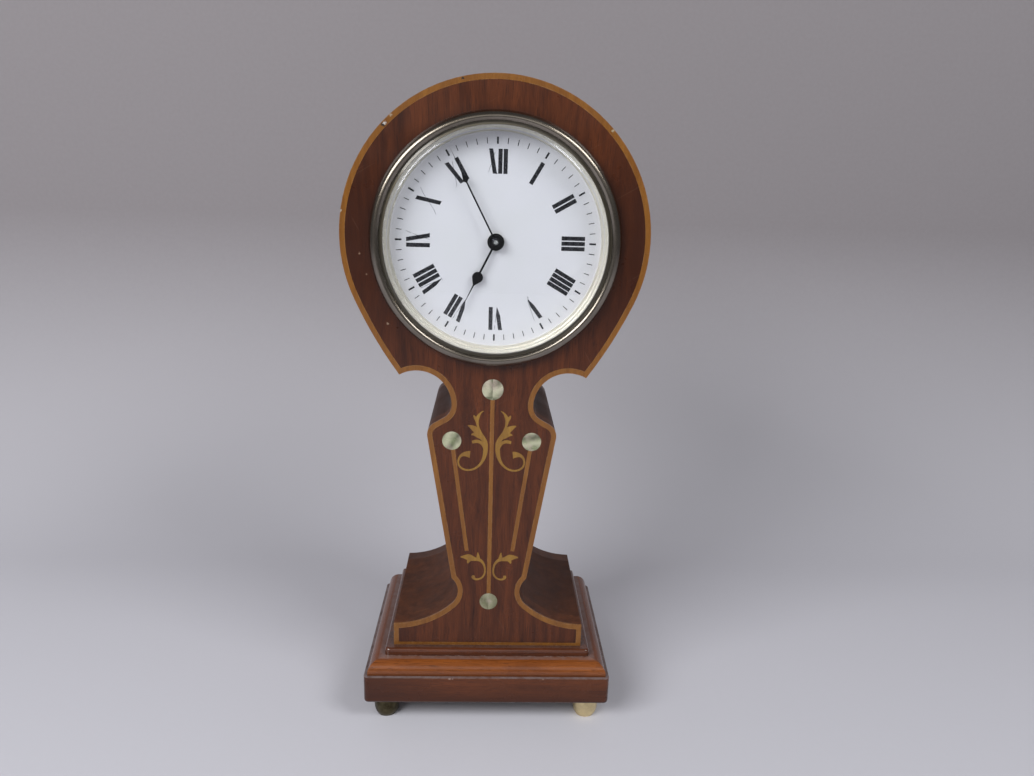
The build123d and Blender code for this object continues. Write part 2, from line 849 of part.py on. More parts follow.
def crossed_out(face, outer, hub, bore):
    """Wheel face with windows between its spokes and a hole for its arbor."""
    window = Circle(outer - rim_width) - Circle(hub)
    for arm in range(spokes // 2):
        window -= Rot(0, 0, half_turn * arm / (spokes // 2)) * Rectangle(2 * outer, spoke_width)
    return face - window - Circle(bore)


def wheel(teeth, module, bore, front, thickness, phase=0.0):
    pitch_radius = teeth * module / 2
    root = pitch_radius - root_share * module
    face = crossed_out(toothed(teeth, module, phase), root, hub_share * pitch_radius, bore)
    return board(face, front, front + thickness)


def arbor(radius, front, back):
    """Steel arbor with a thinner pivot at each end, running in both plates."""
    pivot = radius * pivot_share
    return turned((0, front - plate_thickness), (pivot, front - plate_thickness),
                  (pivot, front + pivot_shoulder), (radius, front + pivot_shoulder),
                  (radius, back - pivot_shoulder), (pivot, back - pivot_shoulder),
                  (pivot, back + plate_thickness), (0, back + plate_thickness))


def pinion(teeth, module, front, back, phase=0.0):
    return board(toothed(teeth, module, phase), front, back)


centre_wheel_front = train_front + centre_wheel_depth
inter_wheel_front = train_front + inter_wheel_depth
barrel_front = train_front + barrel_depth
third_wheel_front = train_front + third_wheel_depth
fourth_wheel_front = train_front + fourth_wheel_depth


def leaves(wheel_front, thickness):
    """Depth range of a pinion that overlaps its wheel on both sides."""
    return wheel_front - pinion_overlap, wheel_front + thickness + pinion_overlap


centre_arbor_front = minute_hand_front - nut_height
setting_back = train_front + setting_length


def centre_wheel():
    return wheel(centre_teeth, centre_module, centre_arbor_radius, centre_wheel_front, wheel_thickness)


def centre_arbor():
    """The arbor that carries the minute hand in front and the setting knob behind."""
    front, back = leaves(inter_wheel_front, wheel_thickness)
    phase = meshed_phase(inter_teeth, centre_pinion_teeth, inter_heading)
    return disc(centre_arbor_radius, centre_arbor_front, setting_back) + pinion(
        centre_pinion_teeth, inter_module, front, back, phase)


def hand_pin():
    """Small polished boss at the very end of the arbor."""
    return disc(pin_radius, centre_arbor_front - pin_height, centre_arbor_front)


def setting_knob():
    knob = ring(setting_knob_radius, centre_arbor_radius, setting_back - setting_knob_length, setting_back)
    for flute in range(setting_knob_flutes):
        place = heading((0, 0), setting_knob_radius, full_turn * flute / setting_knob_flutes)
        knob -= at(place) * disc(flute_radius, setting_back - setting_knob_length - overrun,
                                 setting_back + overrun)
    return knob


def intermediate_wheel():
    return wheel(inter_teeth, inter_module, inter_arbor_radius, inter_wheel_front, wheel_thickness)


def intermediate_arbor():
    front, back = leaves(barrel_front, barrel_gear_thickness)
    phase = meshed_phase(barrel_teeth, inter_pinion_teeth, heading_between(barrel, inter))
    return arbor(inter_arbor_radius, train_front, train_back) + pinion(
        inter_pinion_teeth, barrel_module, front, back, phase)


def heading_between(first, second):
    """Clock angle from one point of the front view to another."""
    run, rise = second[0] - first[0], second[1] - first[1]
    angle = degrees(acos(rise / hypot(run, rise)))
    return angle if run >= 0 else -angle


def third_wheel():
    return wheel(third_teeth, third_module, third_arbor_radius, third_wheel_front, wheel_thickness)


def third_arbor():
    front, back = leaves(centre_wheel_front, wheel_thickness)
    phase = meshed_phase(centre_teeth, third_pinion_teeth, third_heading)
    return arbor(third_arbor_radius, train_front, train_back) + pinion(
        third_pinion_teeth, centre_module, front, back, phase)


def fourth_wheel():
    return wheel(fourth_teeth, fourth_module, fourth_arbor_radius, fourth_wheel_front, fine_wheel_thickness)


def fourth_arbor():
    front, back = leaves(third_wheel_front, wheel_thickness)
    phase = meshed_phase(third_teeth, fourth_pinion_teeth, fourth_heading)
    return arbor(fourth_arbor_radius, train_front, train_back) + pinion(
        fourth_pinion_teeth, third_module, front, back, phase)


# Motion work

motion_front = dial_plate_back + motion_gap + motion_thickness


def cannon_pinion():
    """Pinion and tube, friction-tight on the centre arbor, that carries the minute hand."""
    back = front_plate_face - cannon_shoulder
    tube = ring(cannon_radius, centre_arbor_radius, minute_hand_back, back)
    cut = disc(centre_arbor_radius, minute_hand_back - overrun, back + overrun)
    return tube + (pinion(cannon_teeth, motion_module, back - cannon_leaf_length, back) - cut)


def minute_wheel():
    """Wheel and pinion on a post of the front plate."""
    back = front_plate_face - cannon_shoulder
    front = back - cannon_leaf_length
    gear = toothed(minute_teeth, motion_module, meshed_phase(cannon_teeth, minute_teeth, minute_heading))
    bore = Circle(stud_post_radius + run_gap)
    plate = board(gear - bore, back - motion_thickness - motion_gap, back - motion_gap)
    leaf = pinion(minute_pinion_teeth, motion_module, motion_front - motion_gap,
                  back - motion_thickness - motion_gap)
    return plate + (leaf - disc(stud_post_radius + run_gap, motion_front - 2 * motion_gap, back))


def hour_wheel():
    """Wheel and pipe that runs on the cannon tube and carries the hour hand."""
    phase = meshed_phase(minute_pinion_teeth, hour_teeth, minute_heading + half_turn)
    gear = toothed(hour_teeth, motion_module, phase) - Circle(cannon_radius + run_gap)
    pipe = ring(hour_pipe_radius, cannon_radius + run_gap, hour_hand_back, motion_front)
    tip = ring(hour_pipe_radius - hour_pipe_step, cannon_radius + run_gap, hour_hand_front, hour_hand_back)
    return board(gear, motion_front, motion_front + motion_thickness) + pipe + tip


# Barrel and winding work

barrel_back = barrel_front + barrel_height


def great_wheel_barrel():
    """Open drum with the great wheel cut on its front edge."""
    inner = barrel_drum_radius - barrel_wall
    gear = board(toothed(barrel_teeth, barrel_module), barrel_front, barrel_front + barrel_gear_thickness)
    hollow = disc(inner, barrel_front + barrel_floor, barrel_back + overrun)
    hole = disc(barrel_arbor_radius + run_gap, barrel_front - overrun, barrel_back)
    return gear + disc(barrel_drum_radius, barrel_front, barrel_back) - hollow - hole


def barrel_cover():
    return ring(barrel_drum_radius - barrel_wall, barrel_arbor_radius + run_gap,
                barrel_back - cover_thickness, barrel_back)


def barrel_arbor():
    """Core for the mainspring, pivots in both plates and a square for the key."""
    pivot = barrel_arbor_radius
    body = disc(pivot, train_front - plate_thickness, back_plate_face + rear_gap)
    core = disc(core_radius, barrel_front + barrel_floor + rear_gap, barrel_back - cover_thickness - rear_gap)
    square = board(Rectangle(winding_square, winding_square), back_plate_face + rear_gap,
                   train_front + winding_length)
    return body + core + square


def mainspring():
    """Wound spring, shown as the solid coil that it makes when nearly run down."""
    outer = barrel_drum_radius - barrel_wall - rear_gap
    return ring(outer, (outer + core_radius) / 2, barrel_front + barrel_floor + rear_gap,
                barrel_back - cover_thickness - rear_gap)


ratchet_front = back_plate_face + rear_gap


def ratchet_face():
    """Saw teeth that let the key turn the arbor one way."""
    corners = []
    for tooth in range(ratchet_teeth):
        start = 2 * pi * tooth / ratchet_teeth
        for radius, share in ((ratchet_radius, 0.0), (ratchet_radius - ratchet_depth, ratchet_slope_share)):
            angle = start + share * 2 * pi / ratchet_teeth
            corners.append((radius * sin(angle), radius * cos(angle)))
    return make_face(Polyline(*corners, close=True))


def ratchet_wheel():
    square = Rectangle(winding_square, winding_square)
    return board(ratchet_face() - square, ratchet_front, ratchet_front + ratchet_thickness)


click_pivot = heading(barrel, ratchet_radius + click_reach, click_heading - click_spread)
click_tip = heading(barrel, ratchet_radius + click_clearance, click_heading)


def click():
    """Pawl on its screw, lifted just clear of the ratchet teeth."""
    run = heading_between(click_pivot, click_tip)
    reach = hypot(click_tip[0] - click_pivot[0], click_tip[1] - click_pivot[1])
    arm = make_hull([*Circle(click_head_radius).edges(),
                     *Line((0, reach), (-click_width, reach - click_width)).edges()])
    body = board(arm - Circle(click_pivot_radius + run_gap), ratchet_front,
                 ratchet_front + ratchet_thickness)
    return at(click_pivot) * (spun(run) * body)


def click_screw():
    """Shouldered screw in the back plate under the click."""
    head_front = ratchet_front + ratchet_thickness + rear_gap
    shank = disc(click_pivot_radius, back_plate_face - plate_thickness, head_front)
    return at(click_pivot) * (shank + disc(click_head_radius, head_front, head_front + pin_radius))


spring_post = heading(barrel, ratchet_radius + spring_offset, click_heading + spring_spread)


def click_spring():
    """Flat spring from a post on the back plate to the outside of the click, with room to lift."""
    end = heading(barrel, ratchet_radius + click_clearance + click_lift_room, click_heading)
    run = heading_between(spring_post, end)
    length = hypot(end[0] - spring_post[0], end[1] - spring_post[1])
    face = Pos(0, length / 2) * Rectangle(spring_width, length) + Circle(stud_post_radius)
    blade = board(face, ratchet_front, ratchet_front + ratchet_thickness)
    foot = disc(stud_post_radius, back_plate_face, ratchet_front)
    return at(spring_post) * (spun(run) * blade + foot)


# Plates

pivot_places = ((third, third_arbor_radius * pivot_share), (fourth, fourth_arbor_radius * pivot_share),
                (inter, inter_arbor_radius * pivot_share), (centre, centre_arbor_radius),
                (barrel, barrel_arbor_radius))


def pierced_plate(front, back):
    plate = at(centre) * disc(plate_radius, front, back)
    for place, radius in pivot_places:
        plate -= at(place) * disc(radius + run_gap, front - overrun, back + overrun)
    return plate


def front_plate():
    """Front plate with the post on which the minute wheel turns."""
    post = disc(stud_post_radius, motion_front - motion_gap, front_plate_face)
    return pierced_plate(front_plate_face, train_front) + at(minute_post) * post


def back_plate():
    plate = pierced_plate(train_back, back_plate_face)
    plate -= at(escape) * disc(roller_radius, train_back - overrun, back_plate_face + overrun)
    plate -= at(click_pivot) * disc(click_pivot_radius, train_back - overrun, back_plate_face + overrun)
    for place in round_the_dial(pillar_headings, pillar_circle):
        plate -= at(place) * disc(plate_screw_radius + run_gap, train_back - overrun,
                                  back_plate_face + overrun)
    return plate


def pillars():
    """Turned pillars, waisted in the middle and tapped at the back."""
    middle = (train_front + train_back) / 2
    neck = plate_spacing / 4
    body = turned((0, train_front), (pillar_radius, train_front), (pillar_radius, middle - neck),
                  (pillar_waist, middle), (pillar_radius, middle + neck), (pillar_radius, train_back),
                  (0, train_back))
    bore = disc(plate_screw_radius + run_gap, train_back - plate_screw_grip - rear_gap, train_back + overrun)
    return [at(place) * (body - bore) for place in round_the_dial(pillar_headings, pillar_circle)]


def plate_screws():
    shank = disc(plate_screw_radius, train_back - plate_screw_grip, back_plate_face)
    head = disc(plate_screw_head, back_plate_face, back_plate_face + plate_screw_head_height)
    slot = Pos(0, back_plate_face + plate_screw_head_height, 0) * Box(
        2 * plate_screw_head + overrun, plate_screw_head_height, pin_height)
    return [at(place) * (shank + head - slot) for place in round_the_dial(pillar_headings, pillar_circle)]


# Platform escapement

def hull_of(*circles):
    """Face that wraps ((x, z), radius) circles of the front view."""
    edges = []
    for place, radius in circles:
        edges += (Pos(*place) * Circle(radius)).edges()
    return make_hull(edges)


platform_screw_reaches = ((escape, escape_radius), (staff, balance_radius), (staff, balance_radius))
platform_screw_places = [heading(place, radius + platform_screw_head, platform_heading + turn)
                         for (place, radius), turn in zip(platform_screw_reaches, platform_screw_turns)]


def platform_plate():
    """Brass platform on the back plate, with jewel holes for three arbors."""
    corners = [(place, 2 * platform_screw_head) for place in platform_screw_places]
    face = hull_of((escape, escape_radius + platform_screw_head), (staff, balance_radius),
                   (cock_foot, cock_boss), (bridge_foot, foot_post_radius), *corners)
    face -= Pos(*escape) * Circle(escape_arbor_radius + run_gap)
    face -= Pos(*lever_pivot) * Circle(lever_arbor_radius + run_gap)
    face -= Pos(*staff) * Circle(staff_radius + run_gap)
    for place in platform_screw_places:
        face -= Pos(*place) * Circle(platform_screw_radius + run_gap)
    return board(face, back_plate_face, platform_face)


def platform_screws():
    head = disc(platform_screw_head, platform_face, platform_face + platform_screw_head_height)
    shank = disc(platform_screw_radius, back_plate_face, platform_face)
    return [at(place) * (head + shank) for place in platform_screw_places]


potence_back = train_back
potence_front = fourth_wheel_front - pinion_overlap - potence_gap - potence_thickness
potence_foot = heading(escape, potence_reach, escape_heading)


def escape_potence():
    """Cock under the back plate that carries the inner pivot of the escape arbor."""
    face = hull_of((escape, potence_post_radius), (potence_foot, potence_post_radius))
    face -= Pos(*escape) * Circle(escape_arbor_radius + run_gap)
    post = at(potence_foot) * disc(potence_post_radius, potence_front, potence_back)
    return board(face, potence_front, potence_front + potence_thickness) + post


escape_wheel_front = platform_face + escape_plane
bridge_front = platform_face + bridge_plane
bridge_back = bridge_front + bridge_thickness


def escape_wheel():
    """Fifteen pointed teeth on a light wheel, with its pinion reaching through both plates."""
    corners = []
    for tooth in range(escape_teeth):
        start = 2 * pi * tooth / escape_teeth
        for radius, share in ((escape_root, 0.0), (escape_radius, escape_face_share),
                              (escape_radius, escape_tip_share), (escape_root, escape_heel_share)):
            angle = start + share * 2 * pi / escape_teeth
            corners.append((radius * sin(angle), radius * cos(angle)))
    face = make_face(Polyline(*corners, close=True))
    window = Circle(escape_root - balance_rim) - Circle(2 * escape_arbor_radius)
    window -= Rectangle(2 * escape_root, balance_arm)
    window -= Rectangle(balance_arm, 2 * escape_root)
    return board(face - window, escape_wheel_front, escape_wheel_front + escape_thickness)


def escape_arbor():
    front, back = leaves(fourth_wheel_front, fine_wheel_thickness)
    phase = meshed_phase(fourth_teeth, escape_pinion_teeth, escape_heading)
    shaft = disc(escape_arbor_radius, potence_front, bridge_back)
    return shaft + pinion(escape_pinion_teeth, fourth_module, front, back, phase)


def pallet_lever():
    """Lever with two pallets on one side and an open fork on the other."""
    span = escape_radius + pallet_clearance
    pallets = []
    for side in (-1, 1):
        angle = radians(pallet_angle) * side
        pallets.append((span * sin(angle), lever_distance - span * cos(angle)))
    arms = Sketch()
    for x, y in pallets:
        lean = degrees(acos(abs(y) / hypot(x, y)))
        side = 1 if x > 0 else -1
        bar = Pos(x / 2, -y / 2) * Rot(0, 0, side * lean) * Rectangle(lever_width, hypot(x, y))
        arms += bar
    tail = Pos(0, fork_reach / 2) * Rectangle(lever_width, fork_reach)
    fork = Pos(0, fork_reach - fork_width / 2) * Rectangle(fork_width, fork_width)
    slot = Pos(0, fork_reach) * Rectangle(fork_slot, fork_width)
    body = arms + tail + fork - slot + Circle(2 * lever_arbor_radius)
    lever = board(body, escape_wheel_front, escape_wheel_front + escape_thickness)
    shaft = disc(lever_arbor_radius, back_plate_face, bridge_back)
    return at(lever_pivot) * (spun(platform_heading) * lever + shaft)


def escape_bridge():
    """Cock over the escape wheel and lever, on one foot beyond the wheel."""
    face = hull_of((escape, foot_post_radius), (lever_pivot, foot_post_radius / 2),
                   (bridge_foot, foot_post_radius))
    face -= Pos(*escape) * Circle(escape_arbor_radius + run_gap)
    face -= Pos(*lever_pivot) * Circle(lever_arbor_radius + run_gap)
    foot = at(bridge_foot) * disc(foot_post_radius, platform_face, bridge_front)
    return board(face, bridge_front, bridge_back) + foot


balance_front = platform_face + balance_plane
cock_front = platform_face + cock_plane
cock_back = cock_front + cock_thickness


def balance_wheel():
    """Rim, two arms, staff, roller and impulse pin."""
    rim = Circle(balance_radius) - Circle(balance_radius - balance_rim)
    arm = Rectangle(balance_arm, 2 * balance_radius - balance_rim)
    wheel_part = board(rim + arm + Circle(3 * staff_radius), balance_front, balance_front + balance_thickness)
    axle = disc(staff_radius, back_plate_face, cock_back)
    roller_front = platform_face + roller_plane
    roller = disc(roller_radius, roller_front, roller_front + roller_thickness)
    pin_place = heading((0, 0), impulse_radius, platform_heading + half_turn)
    pin = at(pin_place) * disc(impulse_pin_radius, escape_wheel_front, roller_front)
    return wheel_part + axle + roller + pin


def balance_cock():
    face = hull_of((staff, cock_boss_radius), (cock_foot, cock_boss))
    face -= Pos(*staff) * Circle(staff_radius + run_gap)
    foot = at(cock_foot) * disc(cock_boss, platform_face, cock_front)
    return board(face, cock_front, cock_back) + foot


def regulator():
    """Index on the balance cock, turned a little either way to slow or quicken the clock."""
    face = Circle(regulator_ring) + Pos(0, regulator_tail / 2) * Rectangle(balance_arm, regulator_tail)
    face -= Circle(staff_radius + rear_gap)
    front = cock_back + run_gap
    index = board(face, front, front + regulator_thickness)
    return at(staff) * (spun(platform_heading + regulator_turn) * index)


def hairspring():
    """Spiral of half turns about two centres, so that each half turn joins the next smoothly."""
    coil = Sketch()
    radius, lift, side = hairspring_start, 0.0, 1
    for half in range(hairspring_halves):
        turn = Circle(radius + hairspring_strip / 2) - Circle(radius - hairspring_strip / 2)
        turn &= Pos(side * radius, 0) * Rectangle(2 * radius, 3 * radius)
        coil += Pos(0, lift) * turn
        radius += hairspring_pitch / 2
        lift += side * hairspring_pitch / 2
        side = -side
    front = platform_face + hairspring_plane
    return at(staff) * board(coil, front, front + hairspring_height)


# Drum, straps, rear ring and door

drum_radius = glass_radius
drum_front = dial_plate_back
drum_back = ring_front - drum_gap
hinge_x = -hinge_offset


def drum_case():
    return ring(drum_radius, drum_radius - drum_wall, drum_front, drum_back)


strap_seat = glass_radius + seat_gap + spigot_wall
strap_back = ring_front - ring_collar - strap_gap
strap_screw_circle = strap_seat + strap_screw_inset


def fixing_straps():
    """Two brass straps from the bezel's spigot to the lugs that take the rear screws."""
    face = Circle(strap_seat + strap_thickness) - Circle(strap_seat)
    face &= Pos(0, strap_seat) * Rectangle(strap_width, strap_seat)
    blade = board(face, panel_front + seat_gap, strap_back)
    lug_face = (Circle(strap_seat + lug_rise) - Circle(drum_radius + drum_gap)) & (
        Pos(0, strap_seat) * Rectangle(strap_width, strap_seat))
    lug = board(lug_face, strap_back - lug_length, strap_back)
    bore = at((0, strap_screw_circle)) * disc(strap_screw_radius + run_gap, strap_back - lug_length - overrun,
                                              strap_back + overrun)
    strap = blade + lug - bore
    return [strap, spun(half_turn) * strap]


def strap_screw(gap=0.0):
    """Long countersunk screw from the rear ring into a lug."""
    shank, head = strap_screw_radius + gap, strap_screw_head + gap
    front = strap_back - lug_length - gap
    screw = turned((0, front), (shank, front), (shank, ring_back - (head - shank)), (head, ring_back),
                   (0, ring_back))
    return at((0, strap_screw_circle)) * screw


def strap_screws(gap=0.0):
    return [strap_screw(gap), spun(half_turn) * strap_screw(gap)]


def knuckle(low, high):
    """Length of hinge barrel along Z at the hinge line, from the dial centre."""
    return Pos(hinge_x, hinge_depth, (low + high) / 2) * Cylinder(knuckle_radius, high - low)


def rear_ring():
    """Flange let into the back board, a collar round the drum and the hinge's outer knuckles."""
    flange = ring(ring_radius, ring_mouth, ring_front, ring_back)
    collar = ring(drum_radius + 2 * drum_gap + drum_wall / 2, drum_radius + drum_gap,
                  ring_front - ring_collar, ring_front)
    body = flange + collar
    for screw in strap_screws(run_gap):
        body -= screw
    half, leaf = hinge_length / 2, hinge_leaf / 2 + knuckle_gap
    for low, high in ((-half, -leaf), (leaf, half)):
        web = Pos(hinge_x, (ring_back + hinge_depth) / 2, (low + high) / 2) * Box(
            2 * knuckle_radius, hinge_depth - ring_back, high - low)
        bore = Pos(hinge_x, hinge_depth, (low + high) / 2) * Cylinder(
            hinge_pin_radius + run_gap, high - low + overrun)
        body += web
        body += knuckle(low, high)
        body -= bore
    return body


def hinge_pin():
    return Pos(hinge_x, hinge_depth, 0) * Cylinder(hinge_pin_radius, hinge_length)


def rear_door():
    """Round door with a turned rim, hung on the middle knuckle."""
    dish = door_back - door_dish
    plate = turned((0, door_front), (door_radius, door_front), (door_radius, door_back),
                   (door_radius - door_rim, door_back), (door_radius - door_rim - door_dish, dish), (0, dish))
    strap_run = hinge_offset - door_radius + door_rim
    strap = Pos(hinge_x + strap_run / 2, (door_front + door_back) / 2, 0) * Box(
        strap_run, door_thickness, hinge_leaf)
    body = plate + strap + knuckle(-hinge_leaf / 2, hinge_leaf / 2)
    body -= Pos(hinge_x, hinge_depth, 0) * Cylinder(hinge_pin_radius + run_gap, hinge_leaf + overrun)
    return body


def door_knob():
    top = door_back - door_dish
    return Pos(door_radius - knob_inset, 0, 0) * turned(
        (0, top), (knob_neck_radius, top), (knob_neck_radius, top + knob_height / 2),
        (knob_radius, top + knob_height * 2 / 3), (knob_neck_radius, top + knob_height + door_dish),
        (0, top + knob_height + door_dish))


# All pieces, each under its node's name

def in_place(place, piece):
    """A piece or list of pieces moved to its place in the front view."""
    pieces = piece if isinstance(piece, list) else [piece]
    return [at(place) * item for item in pieces]


def assembly():
    head_band, side_bands = bands()
    pieces = {
        "foot_buns": feet(), "base_board": base_board(), "ovolo_moulding": ovolo_moulding(),
        "plinth_core": plinth_core(), "plinth_step": plinth_step(),
        "plinth_fixings": plinth_screws() + foot_studs(), "front_board": front_board(),
        "back_board": back_board(), "head_band": head_band, "side_bands": side_bands,
        "glue_blocks": [waist_blocks(), foot_block()], "panel_veneer": panel_veneer(),
        "boxwood_stringing": [border_stringing(), inlay(line_faces())],
        "boxwood_scrolls": [inlay(face) for face in scroll_faces()],
        "pearl_discs": inlay(disc_faces()), "pillars": pillars(),
        "movement_screws": plate_screws() + platform_screws() + [click_screw()],
        "front_plate": front_plate(), "back_plate": back_plate(),
        "platform_plate": platform_plate(), "escape_potence": escape_potence(),
        "escape_bridge": escape_bridge(), "pallet_lever": pallet_lever(), "balance_cock": balance_cock(),
        "regulator": regulator(), "hairspring": hairspring(), "click": click(),
        "click_spring": click_spring(),
    }
    placed = {
        centre: {"bezel": bezel(), "glass": glass(), "sight_ring": sight_ring(), "dial": dial(),
                 "dial_plate": dial_plate(), "hour_hand": hour_hand(), "minute_hand": minute_hand(),
                 "hand_collet": hand_nut() + hand_pin(), "centre_wheel": centre_wheel(),
                 "centre_arbor": centre_arbor(), "setting_knob": setting_knob(),
                 "cannon_pinion": cannon_pinion(), "hour_wheel": hour_wheel(), "drum_case": drum_case(),
                 "fixing_straps": fixing_straps(), "strap_screws": strap_screws(),
                 "rear_ring": rear_ring(), "hinge_pin": hinge_pin(), "rear_door": rear_door(),
                 "door_knob": door_knob()},
        inter: {"intermediate_wheel": intermediate_wheel() + intermediate_arbor()},
        third: {"third_wheel": third_wheel() + third_arbor()},
        fourth: {"fourth_wheel": fourth_wheel() + fourth_arbor()},
        escape: {"escape_wheel": escape_wheel() + escape_arbor()},
        minute_post: {"minute_wheel": minute_wheel()},
        staff: {"balance_wheel": balance_wheel()},
        barrel: {"barrel": great_wheel_barrel(), "barrel_cover": barrel_cover(),
                 "barrel_arbor": barrel_arbor(), "mainspring": mainspring(),
                 "ratchet_wheel": ratchet_wheel()},
    }
    for place, group in placed.items():
        for name, piece in group.items():
            pieces[name] = in_place(place, piece)
    return pieces


def solids_of(piece):
    """Every solid of a piece or list, so that separate solids of one node stay separate."""
    if isinstance(piece, list):
        return [solid for item in piece for solid in solids_of(item)]
    return list(piece.solids())


os.makedirs("parts", exist_ok=True)
for name, piece in assembly().items():
    solids = solids_of(piece)
    export_step(solids[0] if len(solids) == 1 else Compound(children=solids), f"parts/{name}.step")
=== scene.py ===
import math

import bmesh
import bpy
from mathutils import Euler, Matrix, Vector


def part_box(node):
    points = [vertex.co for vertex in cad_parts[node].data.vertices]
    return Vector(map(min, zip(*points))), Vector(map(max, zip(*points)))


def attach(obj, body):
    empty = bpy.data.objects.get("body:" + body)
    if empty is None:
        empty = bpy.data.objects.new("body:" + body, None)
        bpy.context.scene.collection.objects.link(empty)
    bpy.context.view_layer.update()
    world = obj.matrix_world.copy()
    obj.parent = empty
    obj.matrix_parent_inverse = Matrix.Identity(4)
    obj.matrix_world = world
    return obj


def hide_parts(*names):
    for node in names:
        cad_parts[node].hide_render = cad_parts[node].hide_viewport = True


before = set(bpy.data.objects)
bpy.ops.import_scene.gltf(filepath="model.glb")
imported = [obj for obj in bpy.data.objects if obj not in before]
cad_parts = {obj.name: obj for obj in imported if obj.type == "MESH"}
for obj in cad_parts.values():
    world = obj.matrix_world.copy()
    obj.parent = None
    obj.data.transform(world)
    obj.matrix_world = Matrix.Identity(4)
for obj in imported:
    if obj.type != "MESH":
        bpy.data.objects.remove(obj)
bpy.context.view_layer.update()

bl_info = {
    "name": "Balloon clock finishes",
    "version": (1, 0, 0),
    "blender": (4, 5, 0),
    "location": "3D View > Sidebar > Clock",
    "description": "Finishes, dial printing and studio for an inlaid balloon clock",
    "category": "Object",
}

MM = 0.001


def middle(node):
    low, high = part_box(node)
    return (low + high) / 2


DIAL_CENTRE = middle("dial")
DIAL_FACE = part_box("dial")[0].y
PANEL_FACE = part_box("panel_veneer")[0].y
BOARD_FACE = -0.0468
SENSOR_WIDTH = 36.0


# Settings that a user would change

def number(name, description, value, low=0.0, **kind):
    return bpy.props.FloatProperty(name=name, description=description, min=low, default=value, **kind)


def length(name, description, millimetres):
    return number(name, description, millimetres * MM, subtype="DISTANCE", unit="LENGTH", precision=5)


def triple(name, description, value, **kind):
    return bpy.props.FloatVectorProperty(name=name, description=description, size=3, default=value, **kind)


def colour(name, description, value):
    return triple(name, description, value, subtype="COLOR", min=0.0, max=1.0)


# Where each wood is, and its light and dark tones
WOOD_TONES = {
    "panel": ("front veneer", (0.136, 0.0355, 0.01), (0.031, 0.0078, 0.0032)),
    "band": ("case sides", (0.135, 0.042, 0.015), (0.034, 0.011, 0.005)),
    "plinth": ("base board and step", (0.15, 0.04, 0.011), (0.04, 0.0105, 0.004)),
    "moulding": ("ovolo moulding", (0.33, 0.098, 0.018), (0.115, 0.03, 0.0075)),
    "boxwood": ("border and lines", (0.262, 0.11, 0.018), (0.145, 0.052, 0.01)),
    "scroll": ("inlaid scrolls", (0.345, 0.19, 0.03), (0.17, 0.078, 0.016)),
    "bare": ("wood inside", (0.42, 0.27, 0.145), (0.3, 0.175, 0.085)),
}


class ClockWoods(bpy.types.PropertyGroup):
    """Colours of the case, the plinth and the inlay"""
    # The dust colour also paints the sheen of light on faces that look up
    dust_and_sheen: colour("Dust", "Dust and bloom on faces that look up", (0.235, 0.19, 0.19))
    # The pore colour also paints the shade in crevices
    pore_and_crevice_shade: colour("Pore", "Colour in the open pores", (0.014, 0.005, 0.004))


for wood, (place, *tones) in WOOD_TONES.items():
    for tone, value in zip(("light", "dark"), tones):
        ClockWoods.__annotations__[f"{wood}_{tone}"] = colour(
            f"{wood} {tone}".capitalize(), f"{tone.capitalize()} tone of the {place}", value)


class ClockMetals(bpy.types.PropertyGroup):
    """Colours of the brass, the steel and the bezel"""
    brass: colour("Brass", "Clean brass", (0.62, 0.46, 0.2))
    brass_tarnish: colour("Tarnish", "Tarnished brass", (0.2, 0.135, 0.06))
    bezel: colour("Bezel", "Worn metal of the bezel", (0.24, 0.208, 0.17))
    bezel_tarnish: colour("Bezel tarnish", "Dull film on the bezel", (0.072, 0.056, 0.038))
    gilt: colour("Gilt", "Dull gilding of the sight ring", (0.78, 0.74, 0.69))
    steel: colour("Steel", "Polished steel", (0.55, 0.56, 0.58))
    steel_stain: colour("Steel stain", "Stained steel", (0.24, 0.22, 0.2))
    hands: colour("Hands", "Blacked steel of the hands", (0.012, 0.012, 0.016))
    ruby: colour("Ruby", "Pivot jewels", (0.42, 0.02, 0.05))


class ClockDial(bpy.types.PropertyGroup):
    """Sizes and colours of the dial's printing"""
    enamel: colour("Enamel", "White enamel", (0.735, 0.715, 0.785))
    enamel_shade: colour("Enamel shade", "Slightly grey enamel towards the rim", (0.65, 0.63, 0.69))
    print_black: colour("Print", "Black of numerals and ticks", (0.006, 0.006, 0.01))
    print_faded: colour("Faded print", "Worn hairlines of the numerals", (0.12, 0.12, 0.16))
    numeral_foot: length("Numeral foot", "Radius of the numerals' inner ends", 28.8)
    numeral_head: length("Numeral head", "Radius of the numerals' outer ends", 39.1)
    stroke: length("Stroke", "Width of a thick stroke", 1.78)
    hairline: length("Hairline", "Width of a thin stroke", 0.16)
    tick_foot: length("Tick foot", "Radius of the ticks' inner ends", 41.3)
    tick_head: length("Tick head", "Radius of the ticks' outer ends", 43.8)
    minute_tick: length("Minute tick", "Width of a minute tick", 0.33)
    hour_tick: length("Hour tick", "Width of a five-minute tick", 0.8)
    print_rise: length("Print rise", "How far the printing stands off the enamel", 0.03)


class ClockStudio(bpy.types.PropertyGroup):
    """Camera, lamps and background"""
    eye: triple("Eye", "Place of the camera", (-0.00216, -0.38388, 0.25597), subtype="TRANSLATION",
            unit="LENGTH")
    aim: triple("Aim", "Turn of the camera", [math.radians(turn) for turn in (75.6264, -1.5817, -1.7404)],
            subtype="EULER", unit="ROTATION")
    lens: number("Lens", "Focal length in millimetres for a 36 mm wide picture", 27.754, 1.0)
    floor: colour("Floor", "Floor and the foot of the backdrop", (0.6, 0.6, 0.655))
    backdrop: colour("Backdrop", "Upper part of the backdrop", (0.262, 0.243, 0.255))
    key_power: number("Key power", "Watts of the lamp over the left side", 13.6)
    second_power: number("Second power", "Watts of the lamp over the right side", 6.3)
    front_power: number("Front power", "Watts of the wide lamp above the camera", 2.4)
    sky: number("Sky", "Strength of the even light from all round", 0.14)


